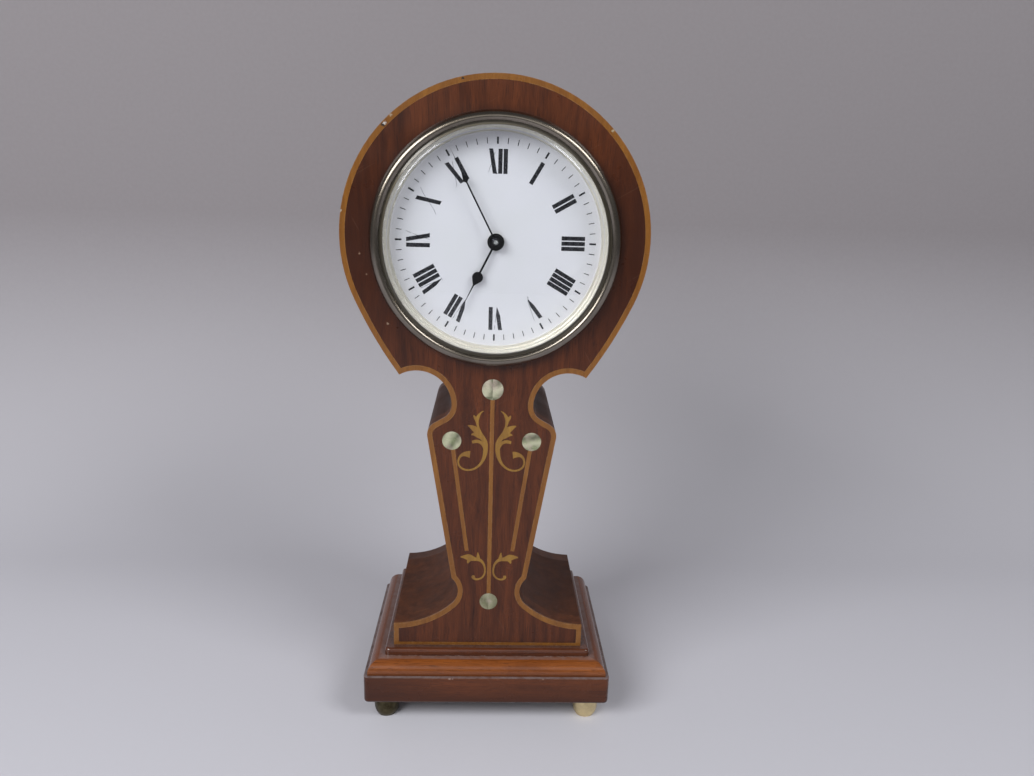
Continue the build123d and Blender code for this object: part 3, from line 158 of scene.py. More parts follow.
SETTINGS = {"clock_woods": ClockWoods, "clock_metals": ClockMetals, "clock_dial": ClockDial,
            "clock_studio": ClockStudio}


# Shader nodes

def put(tree, socket, value):
    """Links a socket, or sets a plain value; a colour of three numbers gets its fourth."""
    if isinstance(value, bpy.types.NodeSocket):
        tree.links.new(value, socket)
    elif socket.type == "RGBA" and len(value) == 3:
        socket.default_value = (*value, 1.0)
    else:
        socket.default_value = value


def add(tree, kind, sockets=None, **settings):
    node = tree.nodes.new("ShaderNode" + kind)
    for name, value in settings.items():
        setattr(node, name, value)
    for name, value in (sockets or {}).items():
        put(tree, node.inputs[name], value)
    return node


def calc(tree, operation, *values):
    return add(tree, "Math", dict(enumerate(values)), operation=operation).outputs[0]


def times(tree, first, second):
    return calc(tree, "MULTIPLY", first, second)


def plus(tree, first, second):
    return calc(tree, "ADD", first, second)


def scale_of(tree, size):
    """Scale of a texture whose features have a size."""
    return calc(tree, "DIVIDE", 1.0, size)


def vector_calc(tree, operation, *values):
    outputs = add(tree, "VectorMath", dict(enumerate(values)), operation=operation).outputs
    return outputs["Value" if operation in ("LENGTH", "DISTANCE", "DOT_PRODUCT") else "Vector"]


def drawn_out(tree, vector, share):
    """Coordinates that draw a texture out along Z; the smaller the share, the longer its marks."""
    return vector_calc(tree, "MULTIPLY", vector, (1.0, 1.0, share))


def axes(tree, vector):
    return add(tree, "SeparateXYZ", {0: vector}).outputs


def axis_distance(tree, vector, centre):
    """Distance from the line along Y through a centre."""
    apart = vector_calc(tree, "SUBTRACT", vector, centre)
    return vector_calc(tree, "LENGTH", vector_calc(tree, "MULTIPLY", apart, (1.0, 0.0, 1.0)))


def remap(tree, value, low, high, to_low=0.0, to_high=1.0):
    return add(tree, "MapRange", {"Value": value, "From Min": low, "From Max": high, "To Min": to_low,
            "To Max": to_high}).outputs["Result"]


def mix(tree, factor, first, second):
    return add(tree, "Mix", {0: factor, 6: first, 7: second}, data_type="RGBA").outputs[2]


def noise(tree, vector, scale, detail=2.0, roughness=0.5):
    return add(tree, "TexNoise", {"Vector": vector, "Scale": scale, "Detail": detail,
            "Roughness": roughness}).outputs["Fac"]


SHARED_EFFECTS = []


def effect(name, takes, *gives):
    """Makes a shared node group of a function from the tree and its inputs to a list of outputs.

    An input's default makes it a vector (None), a colour (three numbers) or a float.
    """
    def keep(build):
        def make():
            tree = bpy.data.node_groups.new(name, "ShaderNodeTree")
            for label, default in takes.items():
                kind = "Vector" if default is None else "Color" if isinstance(default, tuple) else "Float"
                socket = tree.interface.new_socket(name=label, in_out="INPUT", socket_type="NodeSocket" + kind)
                if default is not None:
                    socket.default_value = (*default, 1.0) if kind == "Color" else default
            for label in gives:
                kind = "Color" if label == "Color" else "Float"
                tree.interface.new_socket(name=label, in_out="OUTPUT", socket_type="NodeSocket" + kind)
            results = build(tree, tree.nodes.new("NodeGroupInput").outputs)
            for socket, result in zip(tree.nodes.new("NodeGroupOutput").inputs, results):
                put(tree, socket, result)
        SHARED_EFFECTS.append(make)
        return build
    return keep


def use(tree, group, **sockets):
    """Places a shared effect in a material; underscores in the names stand for spaces."""
    node = tree.nodes.new("ShaderNodeGroup")
    node.node_tree = bpy.data.node_groups[group]
    for name, value in sockets.items():
        put(tree, node.inputs[name.replace("_", " ")], value)
    return node.outputs


@effect("Wood grain", {"Vector": None, "Figure": 0.006, "Pores": 0.00035, "Pore share": 0.5,
                       "Light": (0.5, 0.3, 0.2), "Dark": (0.2, 0.1, 0.05), "Pore": (0.02, 0.01, 0.01)},
        "Color", "Height")
def wood_grain(tree, takes):
    """Long-grained wood with its grain along the vector's Z: figure, fibres and open pores."""
    wave_scale, wave_reach = 22.0, (0.006, 0.006, 0.0)
    wave = add(tree, "TexNoise", {"Vector": takes["Vector"], "Scale": wave_scale, "Detail": 2.0})
    bent = vector_calc(tree, "MULTIPLY_ADD", wave.outputs["Color"], wave_reach, takes["Vector"])
    figure_scale = scale_of(tree, takes["Figure"])
    figure = remap(tree, noise(tree, drawn_out(tree, bent, 0.07), figure_scale, 6.0, 0.66), 0.31, 0.69)
    broad = noise(tree, drawn_out(tree, bent, 0.02), times(tree, figure_scale, 0.3), 1.0)
    tone = plus(tree, times(tree, figure, 0.7), times(tree, remap(tree, broad, 0.3, 0.7), 0.3))
    base = mix(tree, tone, takes["Dark"], takes["Light"])
    pore_scale = scale_of(tree, takes["Pores"])
    pores = noise(tree, drawn_out(tree, bent, 0.035), pore_scale, 2.0, 0.6)
    pore_mask = times(tree, remap(tree, pores, 0.56, 0.68), takes["Pore share"])
    fibres = noise(tree, drawn_out(tree, bent, 0.012), times(tree, pore_scale, 1.7), 1.0)
    with_fibres = mix(tree, remap(tree, fibres, 0.3, 0.7, 0.0, 0.4), base, takes["Dark"])
    return [mix(tree, pore_mask, with_fibres, takes["Pore"]),
            calc(tree, "SUBTRACT", times(tree, fibres, 0.15), pore_mask)]


@effect("Edge wear", {"Radius": 0.0008, "Amount": 0.5}, "Mask")
def edge_wear_and_highlight_mask(tree, takes):
    """Mask of the edges that hands and cloths rub, broken up by noise; with a pale tone it lays a painted
    highlight along the edges.
    """
    rounded = add(tree, "Bevel", {"Radius": takes["Radius"]}, samples=6).outputs[0]
    flat = add(tree, "NewGeometry").outputs["Normal"]
    turn = calc(tree, "SUBTRACT", 1.0, vector_calc(tree, "DOT_PRODUCT", rounded, flat))
    edge = remap(tree, turn, 0.015, 0.12)
    where = add(tree, "TexCoord").outputs["Object"]
    patches = remap(tree, noise(tree, where, 260.0, 4.0, 0.65), 0.44, 0.62)
    return [times(tree, times(tree, edge, patches), takes["Amount"])]


@effect("Handling", {"Vector": None, "Smear size": 0.03}, "Smears", "Scratches")
def handling(tree, takes):
    """Smears and hair-fine scratches of an old polish."""
    fine = []
    for turn in (0.5, 2.1):
        spun = add(tree, "VectorRotate", {"Vector": takes["Vector"], "Angle": turn}, rotation_type="Y_AXIS")
        long = drawn_out(tree, spun.outputs[0], 0.02)
        fine.append(remap(tree, noise(tree, long, 1600.0, 1.0), 0.73, 0.76))
    return [noise(tree, takes["Vector"], scale_of(tree, takes["Smear size"]), 4.0, 0.6),
            calc(tree, "MAXIMUM", *fine)]


@effect("Crevice dirt", {"Reach": 0.004, "Amount": 0.6}, "Mask")
def crevice_dirt_and_shade(tree, takes):
    """Mask of the corners, found by ambient occlusion: painted shade, with the polish and dust that gather
    there.
    """
    open_share = add(tree, "AmbientOcclusion", {"Distance": takes["Reach"]}, samples=6).outputs["AO"]
    return [times(tree, remap(tree, open_share, 0.95, 0.35), takes["Amount"])]


@effect("Dust", {"Vector": None, "Amount": 0.5}, "Mask")
def dust_and_sheen(tree, takes):
    """Mask of the dust and bloom on faces that look up, with a painted sheen of the light they reflect."""
    upward = axes(tree, add(tree, "NewGeometry").outputs["Normal"])["Z"]
    patches = remap(tree, noise(tree, takes["Vector"], 300.0, 3.0), 0.3, 0.6, 0.45, 1.0)
    lying = times(tree, remap(tree, upward, 0.985, 0.999), patches)
    return [times(tree, lying, takes["Amount"])]


@effect("Spot", {"Vector": None, "Centre": None, "Size": 0.001}, "Mask")
def spot(tree, takes):
    """Mask of one small ragged mark round a point."""
    apart = vector_calc(tree, "DISTANCE", takes["Vector"], takes["Centre"])
    ragged = remap(tree, noise(tree, takes["Vector"], 1900.0, 4.0, 0.7), 0.32, 0.68, 0.25, 1.5)
    return [remap(tree, calc(tree, "DIVIDE", apart, times(tree, takes["Size"], ragged)), 1.0, 0.8)]


@effect("Tarnish", {"Vector": None, "Clean": (0.6, 0.5, 0.3), "Film": (0.2, 0.15, 0.1), "Amount": 0.5,
                    "Cloud size": 0.01, "Smooth": 0.22, "Dull": 0.45}, "Color", "Roughness")
def tarnish(tree, takes):
    """Metal whose film lies in clouds and flecks."""
    clouds = noise(tree, takes["Vector"], scale_of(tree, takes["Cloud size"]), 6.0, 0.62)
    flecks = remap(tree, noise(tree, takes["Vector"], 2600.0), 0.62, 0.7, 0.0, 0.5)
    mask = times(tree, plus(tree, remap(tree, clouds, 0.35, 0.68), flecks), takes["Amount"])
    held = add(tree, "Clamp", {"Value": mask}).outputs[0]
    return [mix(tree, held, takes["Clean"], takes["Film"]),
            remap(tree, held, 0.0, 1.0, takes["Smooth"], takes["Dull"])]


@effect("Turned lines", {"Vector": None, "Centre": None, "Pitch": 0.0002}, "Height", "Radius")
def turned_lines(tree, takes):
    """Fine lathe lines round an axis along Y."""
    radius = axis_distance(tree, takes["Vector"], takes["Centre"])
    depth = axes(tree, takes["Vector"])["Y"]
    place = calc(tree, "DIVIDE", plus(tree, radius, depth), takes["Pitch"])
    lines = add(tree, "TexNoise", {"W": place, "Scale": 1.0, "Detail": 2.0}, noise_dimensions="1D")
    return [lines.outputs["Fac"], radius]


@effect("Brush lines", {"Vector": None, "Pitch": 0.0002}, "Height")
def brush_lines(tree, takes):
    """Fine straight file lines along the vector's X."""
    drawn = vector_calc(tree, "MULTIPLY", takes["Vector"], (0.02, 1.0, 1.0))
    return [noise(tree, drawn, scale_of(tree, takes["Pitch"]))]


def arrange(tree):
    """Lays the nodes out in columns from left to right, so that the tree can be read."""
    column_width, row_height = 220, 200
    column = {node: 0 for node in tree.nodes}
    for _ in range(len(tree.nodes)):
        moved = False
        for link in tree.links:
            if column[link.to_node] <= column[link.from_node]:
                column[link.to_node] = column[link.from_node] + 1
                moved = True
        if not moved:
            break
    filled = {}
    for node, place in column.items():
        row = filled.get(place, 0)
        node.location = (place * column_width, -row * row_height)
        filled[place] = row + 1


def new_material(name):
    """An empty material, its tree and the object coordinates in metres."""
    material = bpy.data.materials.new(name)
    material.use_nodes = True
    return material, material.node_tree, add(material.node_tree, "TexCoord").outputs["Object"]


def surface(material, **sockets):
    """Sets the shader's sockets, with underscores for spaces, and lays the nodes out."""
    tree = material.node_tree
    for name, value in sockets.items():
        put(tree, tree.nodes["Principled BSDF"].inputs[name.replace("_", " ")], value)
    arrange(tree)
    return material


def clear_where(tree, share, tone=(1.0, 1.0, 1.0)):
    """Lets light straight through the material by a share."""
    clear = add(tree, "BsdfTransparent", {"Color": tone})
    joined = add(tree, "MixShader", {0: share, 1: tree.nodes["Principled BSDF"].outputs[0],
            2: clear.outputs[0]})
    put(tree, tree.nodes["Material Output"].inputs["Surface"], joined.outputs[0])


def bump(tree, height, distance, strength):
    return add(tree, "Bump", {"Height": height, "Distance": distance, "Strength": strength}).outputs[0]


def dress(material, *nodes):
    for name in nodes:
        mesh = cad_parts[name].data
        mesh.materials.clear()
        mesh.materials.append(material)


# Woods

# Radius at which the bent grain keeps its length
HEAD_RADIUS = 67.0 * MM
# Shift of the grain in the moulding's side strips
SIDE_SHIFT = (0.31, 0.17, 0.0)


def swapped(tree, where, order):
    """The coordinates with another axis as the grain, such as "YZX" for a grain along X."""
    parts = axes(tree, where)
    return add(tree, "CombineXYZ", {new: parts[old] for new, old in zip("XYZ", order)}).outputs[0]


def along_x(tree, where):
    return swapped(tree, where, "YZX")


def round_the_head(tree, where):
    """Coordinates whose grain runs round the dial's axis with the bent band."""
    centre = tuple(DIAL_CENTRE)
    parts = axes(tree, vector_calc(tree, "SUBTRACT", where, centre))
    along = times(tree, calc(tree, "ARCTAN2", parts["X"], parts["Z"]), HEAD_RADIUS)
    return add(tree, "CombineXYZ", {"X": axis_distance(tree, where, centre), "Y": parts["Y"],
            "Z": along}).outputs[0]


def side_strips(tree, where):
    """Mask of the moulding's sides, behind the mitres at its front corners."""
    low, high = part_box("ovolo_moulding")
    parts = axes(tree, where)
    from_side = calc(tree, "SUBTRACT", high.x, calc(tree, "ABSOLUTE", parts["X"]))
    from_front = calc(tree, "SUBTRACT", parts["Y"], low.y)
    return calc(tree, "LESS_THAN", from_side, from_front)


def mitred(tree, where):
    """Grain along X on the front strip of the moulding and along Y on its sides."""
    side = vector_calc(tree, "ADD", swapped(tree, where, "ZXY"), SIDE_SHIFT)
    return add(tree, "Mix", {0: side_strips(tree, where), 4: along_x(tree, where), 5: side},
            data_type="VECTOR").outputs[1]


def polished_wood(name, tones, figure, polish, grain=None, pores=0.00035, pore_share=0.5, coat=0.35,
        edge_wear_and_highlight=(0.24, 0.12, 0.06), worn=0.35, marks=(), face=PANEL_FACE, dirt_and_shade=0.5, shaded=None,
        shine=0.25, dust_and_sheen=0.0):
    """French polished wood: grain below a clear coat, with rubbed edges, smears and ragged marks.

    tones names a light and a dark colour of the settings, figure is the width of the grain's figure,
    polish the middle roughness, face the y of the marks, and shaded a mask where the colour goes to the dark
    tone, in places as painted shade.
    """
    woods = bpy.context.scene.clock_woods
    light, dark = getattr(woods, tones + "_light"), getattr(woods, tones + "_dark")
    material, tree, where = new_material(name)
    wood = use(tree, "Wood grain", Vector=grain(tree, where) if grain else where, Figure=figure,
            Pores=pores, Pore_share=pore_share, Light=light, Dark=dark, Pore=woods.pore_and_crevice_shade)
    # Rubbed edges; with a pale tone, as on the plinth step, a painted highlight along the edge
    rubbed_and_highlit = use(tree, "Edge wear", Amount=worn)["Mask"]
    shade = mix(tree, rubbed_and_highlit, wood["Color"], edge_wear_and_highlight)
    if shaded:
        # Darker wood, and on the side bands and the moulding's lower edge painted shade
        shade = mix(tree, shaded(tree, where), shade, dark)
    for x, z, size, tone in marks:
        mark = use(tree, "Spot", Vector=where, Centre=(x, face, z), Size=size)["Mask"]
        shade = mix(tree, mark, shade, tone)
    # Ambient occlusion darkens the hollows towards the pore colour: painted shade, with the dirt there
    shade = mix(tree, use(tree, "Crevice dirt", Amount=dirt_and_shade)["Mask"], shade, woods.pore_and_crevice_shade)
    # Faces that look up go pale: dust, with a painted sheen of reflected light
    shade = mix(tree, use(tree, "Dust", Vector=where, Amount=dust_and_sheen)["Mask"], shade, woods.dust_and_sheen)
    handled = use(tree, "Handling", Vector=where)
    scratch, scratch_tone = times(tree, handled["Scratches"], 0.1), (0.26, 0.15, 0.1)
    rough = remap(tree, handled["Smears"], 0.3, 0.7, polish - 0.07, polish + 0.09)
    return surface(material, Base_Color=mix(tree, scratch, shade, scratch_tone),
            Roughness=plus(tree, rough, times(tree, rubbed_and_highlit, 0.3)),
            Normal=bump(tree, wood["Height"], 0.00005, 0.5), Coat_Weight=coat, Coat_Roughness=0.16,
            Specular_IOR_Level=shine)


# Small marks: x, z and radius in metres, and colour
PANEL_MARKS = ((-0.059, 0.225, 0.0005, (0.24, 0.15, 0.1)), (-0.056, 0.216, 0.0004, (0.2, 0.12, 0.08)),
               (-0.047, 0.1945, 0.0006, (0.25, 0.17, 0.12)))
BORDER_MARKS = ((-0.0478, 0.2784, 0.0011, (0.03, 0.022, 0.018)), (-0.0474, 0.279, 0.0008, (0.45, 0.43, 0.41)),
                (-0.0447, 0.2822, 0.0007, (0.3, 0.22, 0.15)), (0.0482, 0.2786, 0.0007, (0.34, 0.27, 0.17)),
                (-0.0665, 0.243, 0.0007, (0.36, 0.29, 0.22)), (-0.015, 0.2975, 0.0007, (0.03, 0.02, 0.014)))
BOARD_MARKS = ((-0.018, 0.0247, 0.0007, (0.3, 0.2, 0.16)), (-0.0166, 0.0246, 0.0005, (0.24, 0.15, 0.12)),
               (0.027, 0.0247, 0.0005, (0.26, 0.17, 0.13)))
# Where the darker bands set in: from and to, in metres out from the middle or up from the table.
# On the waist, the right of the skirt and the moulding's lower edge the darkening is painted shade.
FLANK, HEAD_FOOT, HEAD_TOP = (0.034, 0.062), (0.165, 0.2), (0.285, 0.255)
WAIST_SHADE, RIGHT_SKIRT_SHADE, BOARD_LEFT, EDGE = (0.095, 0.115), (0.0, 0.02), -0.02, 3.0 * MM


def dark_flanks(tree, where):
    """Mask of the darker wood at both flanks of the head."""
    parts = axes(tree, where)
    outward = remap(tree, calc(tree, "ABSOLUTE", parts["X"]), *FLANK, 0.0, 0.8)
    upright = times(tree, remap(tree, parts["Z"], *HEAD_FOOT), remap(tree, parts["Z"], *HEAD_TOP))
    return times(tree, outward, upright)


def painted_waist_and_skirt_shade(tree, where):
    """Mask of painted shade on the side bands: all of the waist, and the skirt on the right."""
    parts = axes(tree, where)
    return calc(tree, "MAXIMUM", remap(tree, parts["Z"], *WAIST_SHADE, 0.0, 0.75),
            remap(tree, parts["X"], *RIGHT_SKIRT_SHADE, 0.0, 0.45))


def dark_foot(tree, where):
    """Mask of the darker lower half and left end of the base board."""
    low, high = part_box("base_board")
    parts = axes(tree, where)
    return calc(tree, "MAXIMUM", remap(tree, parts["Z"], high.z - EDGE, low.z, 0.0, 0.6),
            remap(tree, parts["X"], BOARD_LEFT, low.x, 0.0, 0.7))


def dark_sides_and_painted_edge_shade(tree, where):
    """Mask of the darker side strips of the ovolo moulding, and of painted shade along its lower edge."""
    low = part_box("ovolo_moulding")[0]
    lower = remap(tree, axes(tree, where)["Z"], low.z + EDGE, low.z, 0.0, 0.6)
    return calc(tree, "MAXIMUM", times(tree, side_strips(tree, where), 0.85), lower)


class CLOCK_OT_case_woods(bpy.types.Operator):
    """Polishes the mahogany case"""
    bl_idname = "clock.case_woods"
    bl_label = "Case woods"

    def execute(self, context):
        dress(polished_wood("Front veneer", "panel", 0.003, 0.3, coat=0.16, marks=PANEL_MARKS,
                worn=0.1, shaded=dark_flanks), "panel_veneer")
        dress(polished_wood("Bent sides", "band", 0.004, 0.3, grain=round_the_head), "head_band")
        dress(polished_wood("Straight sides", "band", 0.005, 0.5, coat=0.04, shine=0.18, shaded=painted_waist_and_skirt_shade),
              "side_bands")
        dress(polished_wood("Front board", "band", 0.005, 0.5, coat=0.04, shine=0.18), "front_board")
        dress(polished_wood("Back board", "band", 0.008, 0.45, coat=0.2), "back_board")
        dress(polished_wood("Bare wood", "bare", 0.005, 0.65, pore_share=0.15, coat=0.0),
              "glue_blocks", "plinth_core")
        return {"FINISHED"}


class CLOCK_OT_plinth_woods(bpy.types.Operator):
    """Polishes the base board, the step and the ovolo moulding"""
    bl_idname = "clock.plinth_woods"
    bl_label = "Plinth woods"

    def execute(self, context):
        # The pale dust colour on these top faces is partly a painted sheen of reflected light
        dress(polished_wood("Base board", "plinth", 0.005, 0.24, grain=along_x, coat=0.25, marks=BOARD_MARKS,
                            face=BOARD_FACE, worn=0.45, shaded=dark_foot, dust_and_sheen=0.7), "base_board")
        # The step's pale edge tone is a painted highlight along its rounded arris
        dress(polished_wood("Plinth step", "plinth", 0.004, 0.17, grain=along_x, coat=0.9,
                edge_wear_and_highlight=(0.36, 0.27, 0.25), worn=0.9, dust_and_sheen=0.15), "plinth_step")
        dress(polished_wood("Ovolo moulding", "moulding", 0.004, 0.18, grain=mitred, coat=0.5,
                edge_wear_and_highlight=(0.4, 0.2, 0.08), worn=0.3, shaded=dark_sides_and_painted_edge_shade, dust_and_sheen=0.4), "ovolo_moulding")
        return {"FINISHED"}


class CLOCK_OT_inlay(bpy.types.Operator):
    """Finishes the boxwood stringing, the scrolls and the pearl discs"""
    bl_idname = "clock.inlay"
    bl_label = "Inlay"

    def execute(self, context):
        dress(polished_wood("Boxwood stringing", "boxwood", 0.0025, 0.25, pores=0.0002, pore_share=0.12,
                edge_wear_and_highlight=(0.42, 0.25, 0.12), worn=0.3, marks=BORDER_MARKS, dirt_and_shade=0.2),
                "boxwood_stringing")
        dress(polished_wood("Boxwood scrolls", "scroll", 0.003, 0.25, pores=0.0002, pore_share=0.08,
                worn=0.0, dirt_and_shade=0.2), "boxwood_scrolls")
        dress(mother_of_pearl(), "pearl_discs")
        return {"FINISHED"}


def mother_of_pearl():
    """Nacre: wavy growth bands of cream, grey and green, a different piece of shell in each disc."""
    material, tree, where = new_material("Mother of pearl")
    parts = axes(tree, where)
    cells_per_metre, cell_turn, side_turn = 34.0, 3.7, 1.3
    cell = calc(tree, "ROUND", times(tree, parts["Z"], cells_per_metre))
    side = calc(tree, "SIGN", parts["X"])
    shift = plus(tree, times(tree, cell, cell_turn), times(tree, side, side_turn))
    turned = add(tree, "VectorRotate", {"Vector": where, "Angle": shift}, rotation_type="Y_AXIS").outputs[0]
    bands = add(tree, "TexWave", {"Vector": turned, "Scale": 62.0, "Distortion": 5.0, "Detail": 3.0,
            "Detail Scale": 1.4, "Phase Offset": shift}, bands_direction="DIAGONAL").outputs["Fac"]
    clouds = remap(tree, noise(tree, turned, 290.0, 4.0), 0.36, 0.64)
    cream = mix(tree, bands, (0.12, 0.115, 0.08), (0.52, 0.5, 0.37))
    aged = mix(tree, remap(tree, parts["Z"], 0.08, 0.06, 0.0, 0.7), cream, (0.18, 0.15, 0.085))
    green_share = times(tree, remap(tree, parts["Z"], 0.15, 0.135, 0.15, 0.55),
            remap(tree, parts["Z"], 0.06, 0.08, 0.25, 1.0))
    green = mix(tree, times(tree, clouds, green_share), aged, (0.3, 0.35, 0.17))
    rose = times(tree, remap(tree, noise(tree, turned, 170.0), 0.52, 0.66), 0.45)
    return surface(material, Base_Color=mix(tree, rose, green, (0.55, 0.42, 0.38)),
            Roughness=remap(tree, clouds, 0.0, 1.0, 0.14, 0.3), Normal=bump(tree, bands, 0.00022, 0.5),
            Metallic=0.25, Thin_Film_Thickness=420.0, Coat_Weight=0.7, Coat_Roughness=0.08)


# Metals

def aged_metal(name, clean, tarnish, film, lines=None, centre=None, inner=None, edge_wear_and_highlight=0.0, dirt_and_shade=0.5,
        lacquer=0.0):
    """Metal with a patchy film.

    film holds its amount, the size of its clouds and the roughness of clean and of filmed metal. lines
    are "turned" or "brushed"; inner is the radius, tone and roughness of another metal near the axis, on the
    bezel a painted shade.
    """
    material, tree, where = new_material(name)
    amount, cloud, smooth, dull = film
    filmed = use(tree, "Tarnish", Vector=where, Clean=clean, Film=tarnish, Amount=amount, Cloud_size=cloud,
            Smooth=smooth, Dull=dull)
    shade, rough = filmed["Color"], filmed["Roughness"]
    if centre is not None:
        turned = use(tree, "Turned lines", Vector=where, Centre=tuple(centre), Pitch=0.00022)
    if inner is not None:
        limit, tone, its_rough = inner
        near = remap(tree, turned["Radius"], limit + 0.05 * MM, limit)
        shade = mix(tree, near, shade, tone)
        rough = remap(tree, near, 0.0, 1.0, rough, its_rough)
    if edge_wear_and_highlight:
        bright = tuple(min(1.0, value * 1.5 + 0.08) for value in clean)
        shade = mix(tree, use(tree, "Edge wear", Radius=0.0004, Amount=edge_wear_and_highlight)["Mask"], shade, bright)
    # Ambient occlusion darkens the hollows towards the film: painted shade, with the tarnish there
    shade = mix(tree, use(tree, "Crevice dirt", Reach=0.002, Amount=dirt_and_shade)["Mask"], shade,
            tuple(value * 0.3 for value in tarnish))
    if lines == "turned":
        normal = bump(tree, turned["Height"], 0.000012, 0.3)
    elif lines == "brushed":
        normal = bump(tree, use(tree, "Brush lines", Vector=where)["Height"], 0.00001, 0.6)
    else:
        normal = bump(tree, noise(tree, where, 1800.0, 3.0), 0.00002, 0.4)
    return surface(material, Base_Color=shade, Roughness=rough, Metallic=1.0, Coat_Weight=lacquer,
            Coat_Roughness=0.12, Normal=normal)


def linked(name, data):
    """A new object in the scene."""
    piece = bpy.data.objects.new(name, data)
    bpy.context.scene.collection.objects.link(piece)
    return piece


def meshed(name, spots, faces, material):
    """A new object of points and faces."""
    mesh = bpy.data.meshes.new(name)
    mesh.from_pydata(spots, [], faces)
    mesh.update()
    mesh.materials.append(material)
    return linked(name, mesh)


def turned_piece(name, centre, face, profile, material, outward=1.0, steps=48):
    """Closed round piece on an upright face: profile is (radius, height above the face) in mm."""
    turns = [math.tau * i / steps for i in range(steps)]
    spots = [((centre[0] + radius * math.cos(turn)) * MM, (face + height * outward) * MM,
            (centre[1] + radius * math.sin(turn)) * MM) for radius, height in profile for turn in turns]
    faces = []
    for ring in range(len(profile)):
        here, there = ring * steps, (ring + 1) % len(profile) * steps
        faces += [(here + i, here + (i + 1) % steps, there + (i + 1) % steps, there + i)
                for i in range(steps)]
    piece = meshed(name, spots, faces, material)
    work = bmesh.new()
    work.from_mesh(piece.data)
    bmesh.ops.recalc_face_normals(work, faces=work.faces)
    work.to_mesh(piece.data)
    work.free()
    for polygon in piece.data.polygons:
        polygon.use_smooth = True
    piece.data.set_sharp_from_angle(angle=math.radians(35.0))
    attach(piece, "case")
    return piece


# Section of the spun bezel: radius and height above the case's front in mm, from its foot over the round
# ring and the bead down to the mouth on the glass, behind the glass and back along the spigot
BEZEL_RING = ((54.42, 0.0), (54.64, 0.45), (54.7, 1.0), (54.62, 1.9), (54.38, 2.8), (54.02, 3.6),
              (53.54, 4.35), (52.94, 4.98), (52.28, 5.38), (51.63, 5.52), (51.02, 5.42), (50.5, 5.1),
              (50.12, 4.62), (49.92, 4.16), (49.8, 4.18), (49.62, 4.12), (49.48, 3.92))
BEZEL_BACK = ((48.5, 0.7), (48.5, 0.0), (49.0, 0.0))
BEZEL_SPIGOT = ((49.0, -8.0), (49.9, -8.0), (49.9, 0.0))
# Radius, tone and roughness of the dark, dull metal inside the bead: painted shade in the bezel's mouth
BEZEL_SHADED_MOUTH = (49.98 * MM, (0.085, 0.074, 0.052), 0.5)
# The same for the polished pin in the hands' collet
HAND_PIN = (0.85 * MM, (0.62, 0.62, 0.64), 0.45)


class CLOCK_OT_bezel_and_glass(bpy.types.Operator):
    """Finishes the bezel, the bevelled glass and the sight ring"""
    bl_idname = "clock.bezel_and_glass"
    bl_label = "Bezel and glass"

    def execute(self, context):
        metals = context.scene.clock_metals
        # The bezel's dark inner tone is painted shade in its mouth
        worn = aged_metal("Bezel", metals.bezel, metals.bezel_tarnish, (0.65, 0.03, 0.22, 0.3), "turned",
                DIAL_CENTRE, BEZEL_SHADED_MOUTH, edge_wear_and_highlight=0.12, dirt_and_shade=0.6, lacquer=0.8)
        above = (PANEL_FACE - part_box("glass")[0].y) / MM
        back = [(radius, above + height) for radius, height in BEZEL_BACK]
        ring = turned_piece("spun_bezel", (DIAL_CENTRE.x / MM, DIAL_CENTRE.z / MM), PANEL_FACE / MM,
                [*BEZEL_RING, *back, *BEZEL_SPIGOT], worn, -1.0, 192)
        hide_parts("bezel")
        dress(aged_metal("Sight ring", metals.gilt, (0.4, 0.36, 0.27), (0.2, 0.008, 0.42, 0.58), dirt_and_shade=0.0),
              "sight_ring")
        dress(clear_glass(), "glass")
        return {"FINISHED"}


def clear_glass():
    """Bevelled glass; shadow rays pass it, so that the dial behind is lit as through real glass."""
    material, tree, where = new_material("Bevelled glass")
    radius = use(tree, "Turned lines", Vector=where, Centre=tuple(DIAL_CENTRE))["Radius"]
    bevel = remap(tree, radius, 0.0462, 0.0468, 0.0, 0.12)
    smears = remap(tree, noise(tree, where, 40.0, 3.0), 0.3, 0.7, 0.0, 0.02)
    ray = add(tree, "LightPath").outputs
    clear_where(tree, calc(tree, "MAXIMUM", ray["Is Shadow Ray"], ray["Is Diffuse Ray"]), (0.97, 0.985, 0.98))
    return surface(material, Base_Color=(0.96, 0.985, 0.975), Roughness=plus(tree, bevel, smears),
            Transmission_Weight=1.0, IOR=1.5)


class CLOCK_OT_back_fittings(bpy.types.Operator):
    """Finishes the drum, the straps, the rear ring and the door"""
    bl_idname = "clock.back_fittings"
    bl_label = "Back fittings"

    def execute(self, context):
        metals = context.scene.clock_metals
        brass = metals.brass, metals.brass_tarnish
        dress(aged_metal("Drum", *brass, (0.75, 0.012, 0.3, 0.5), "turned", DIAL_CENTRE),
              "drum_case", "dial_plate")
        dress(aged_metal("Rear brass", *brass, (0.5, 0.02, 0.24, 0.42), "turned", DIAL_CENTRE, edge_wear_and_highlight=0.4),
              "rear_ring", "rear_door", "door_knob")
        dress(aged_metal("Strap brass", *brass, (0.7, 0.01, 0.22, 0.45), "brushed", edge_wear_and_highlight=0.3),
              "fixing_straps")
        dress(aged_metal("Fixing steel", metals.steel, metals.steel_stain, (0.5, 0.004, 0.25, 0.45)),
              "strap_screws", "hinge_pin", "plinth_fixings")
        return {"FINISHED"}


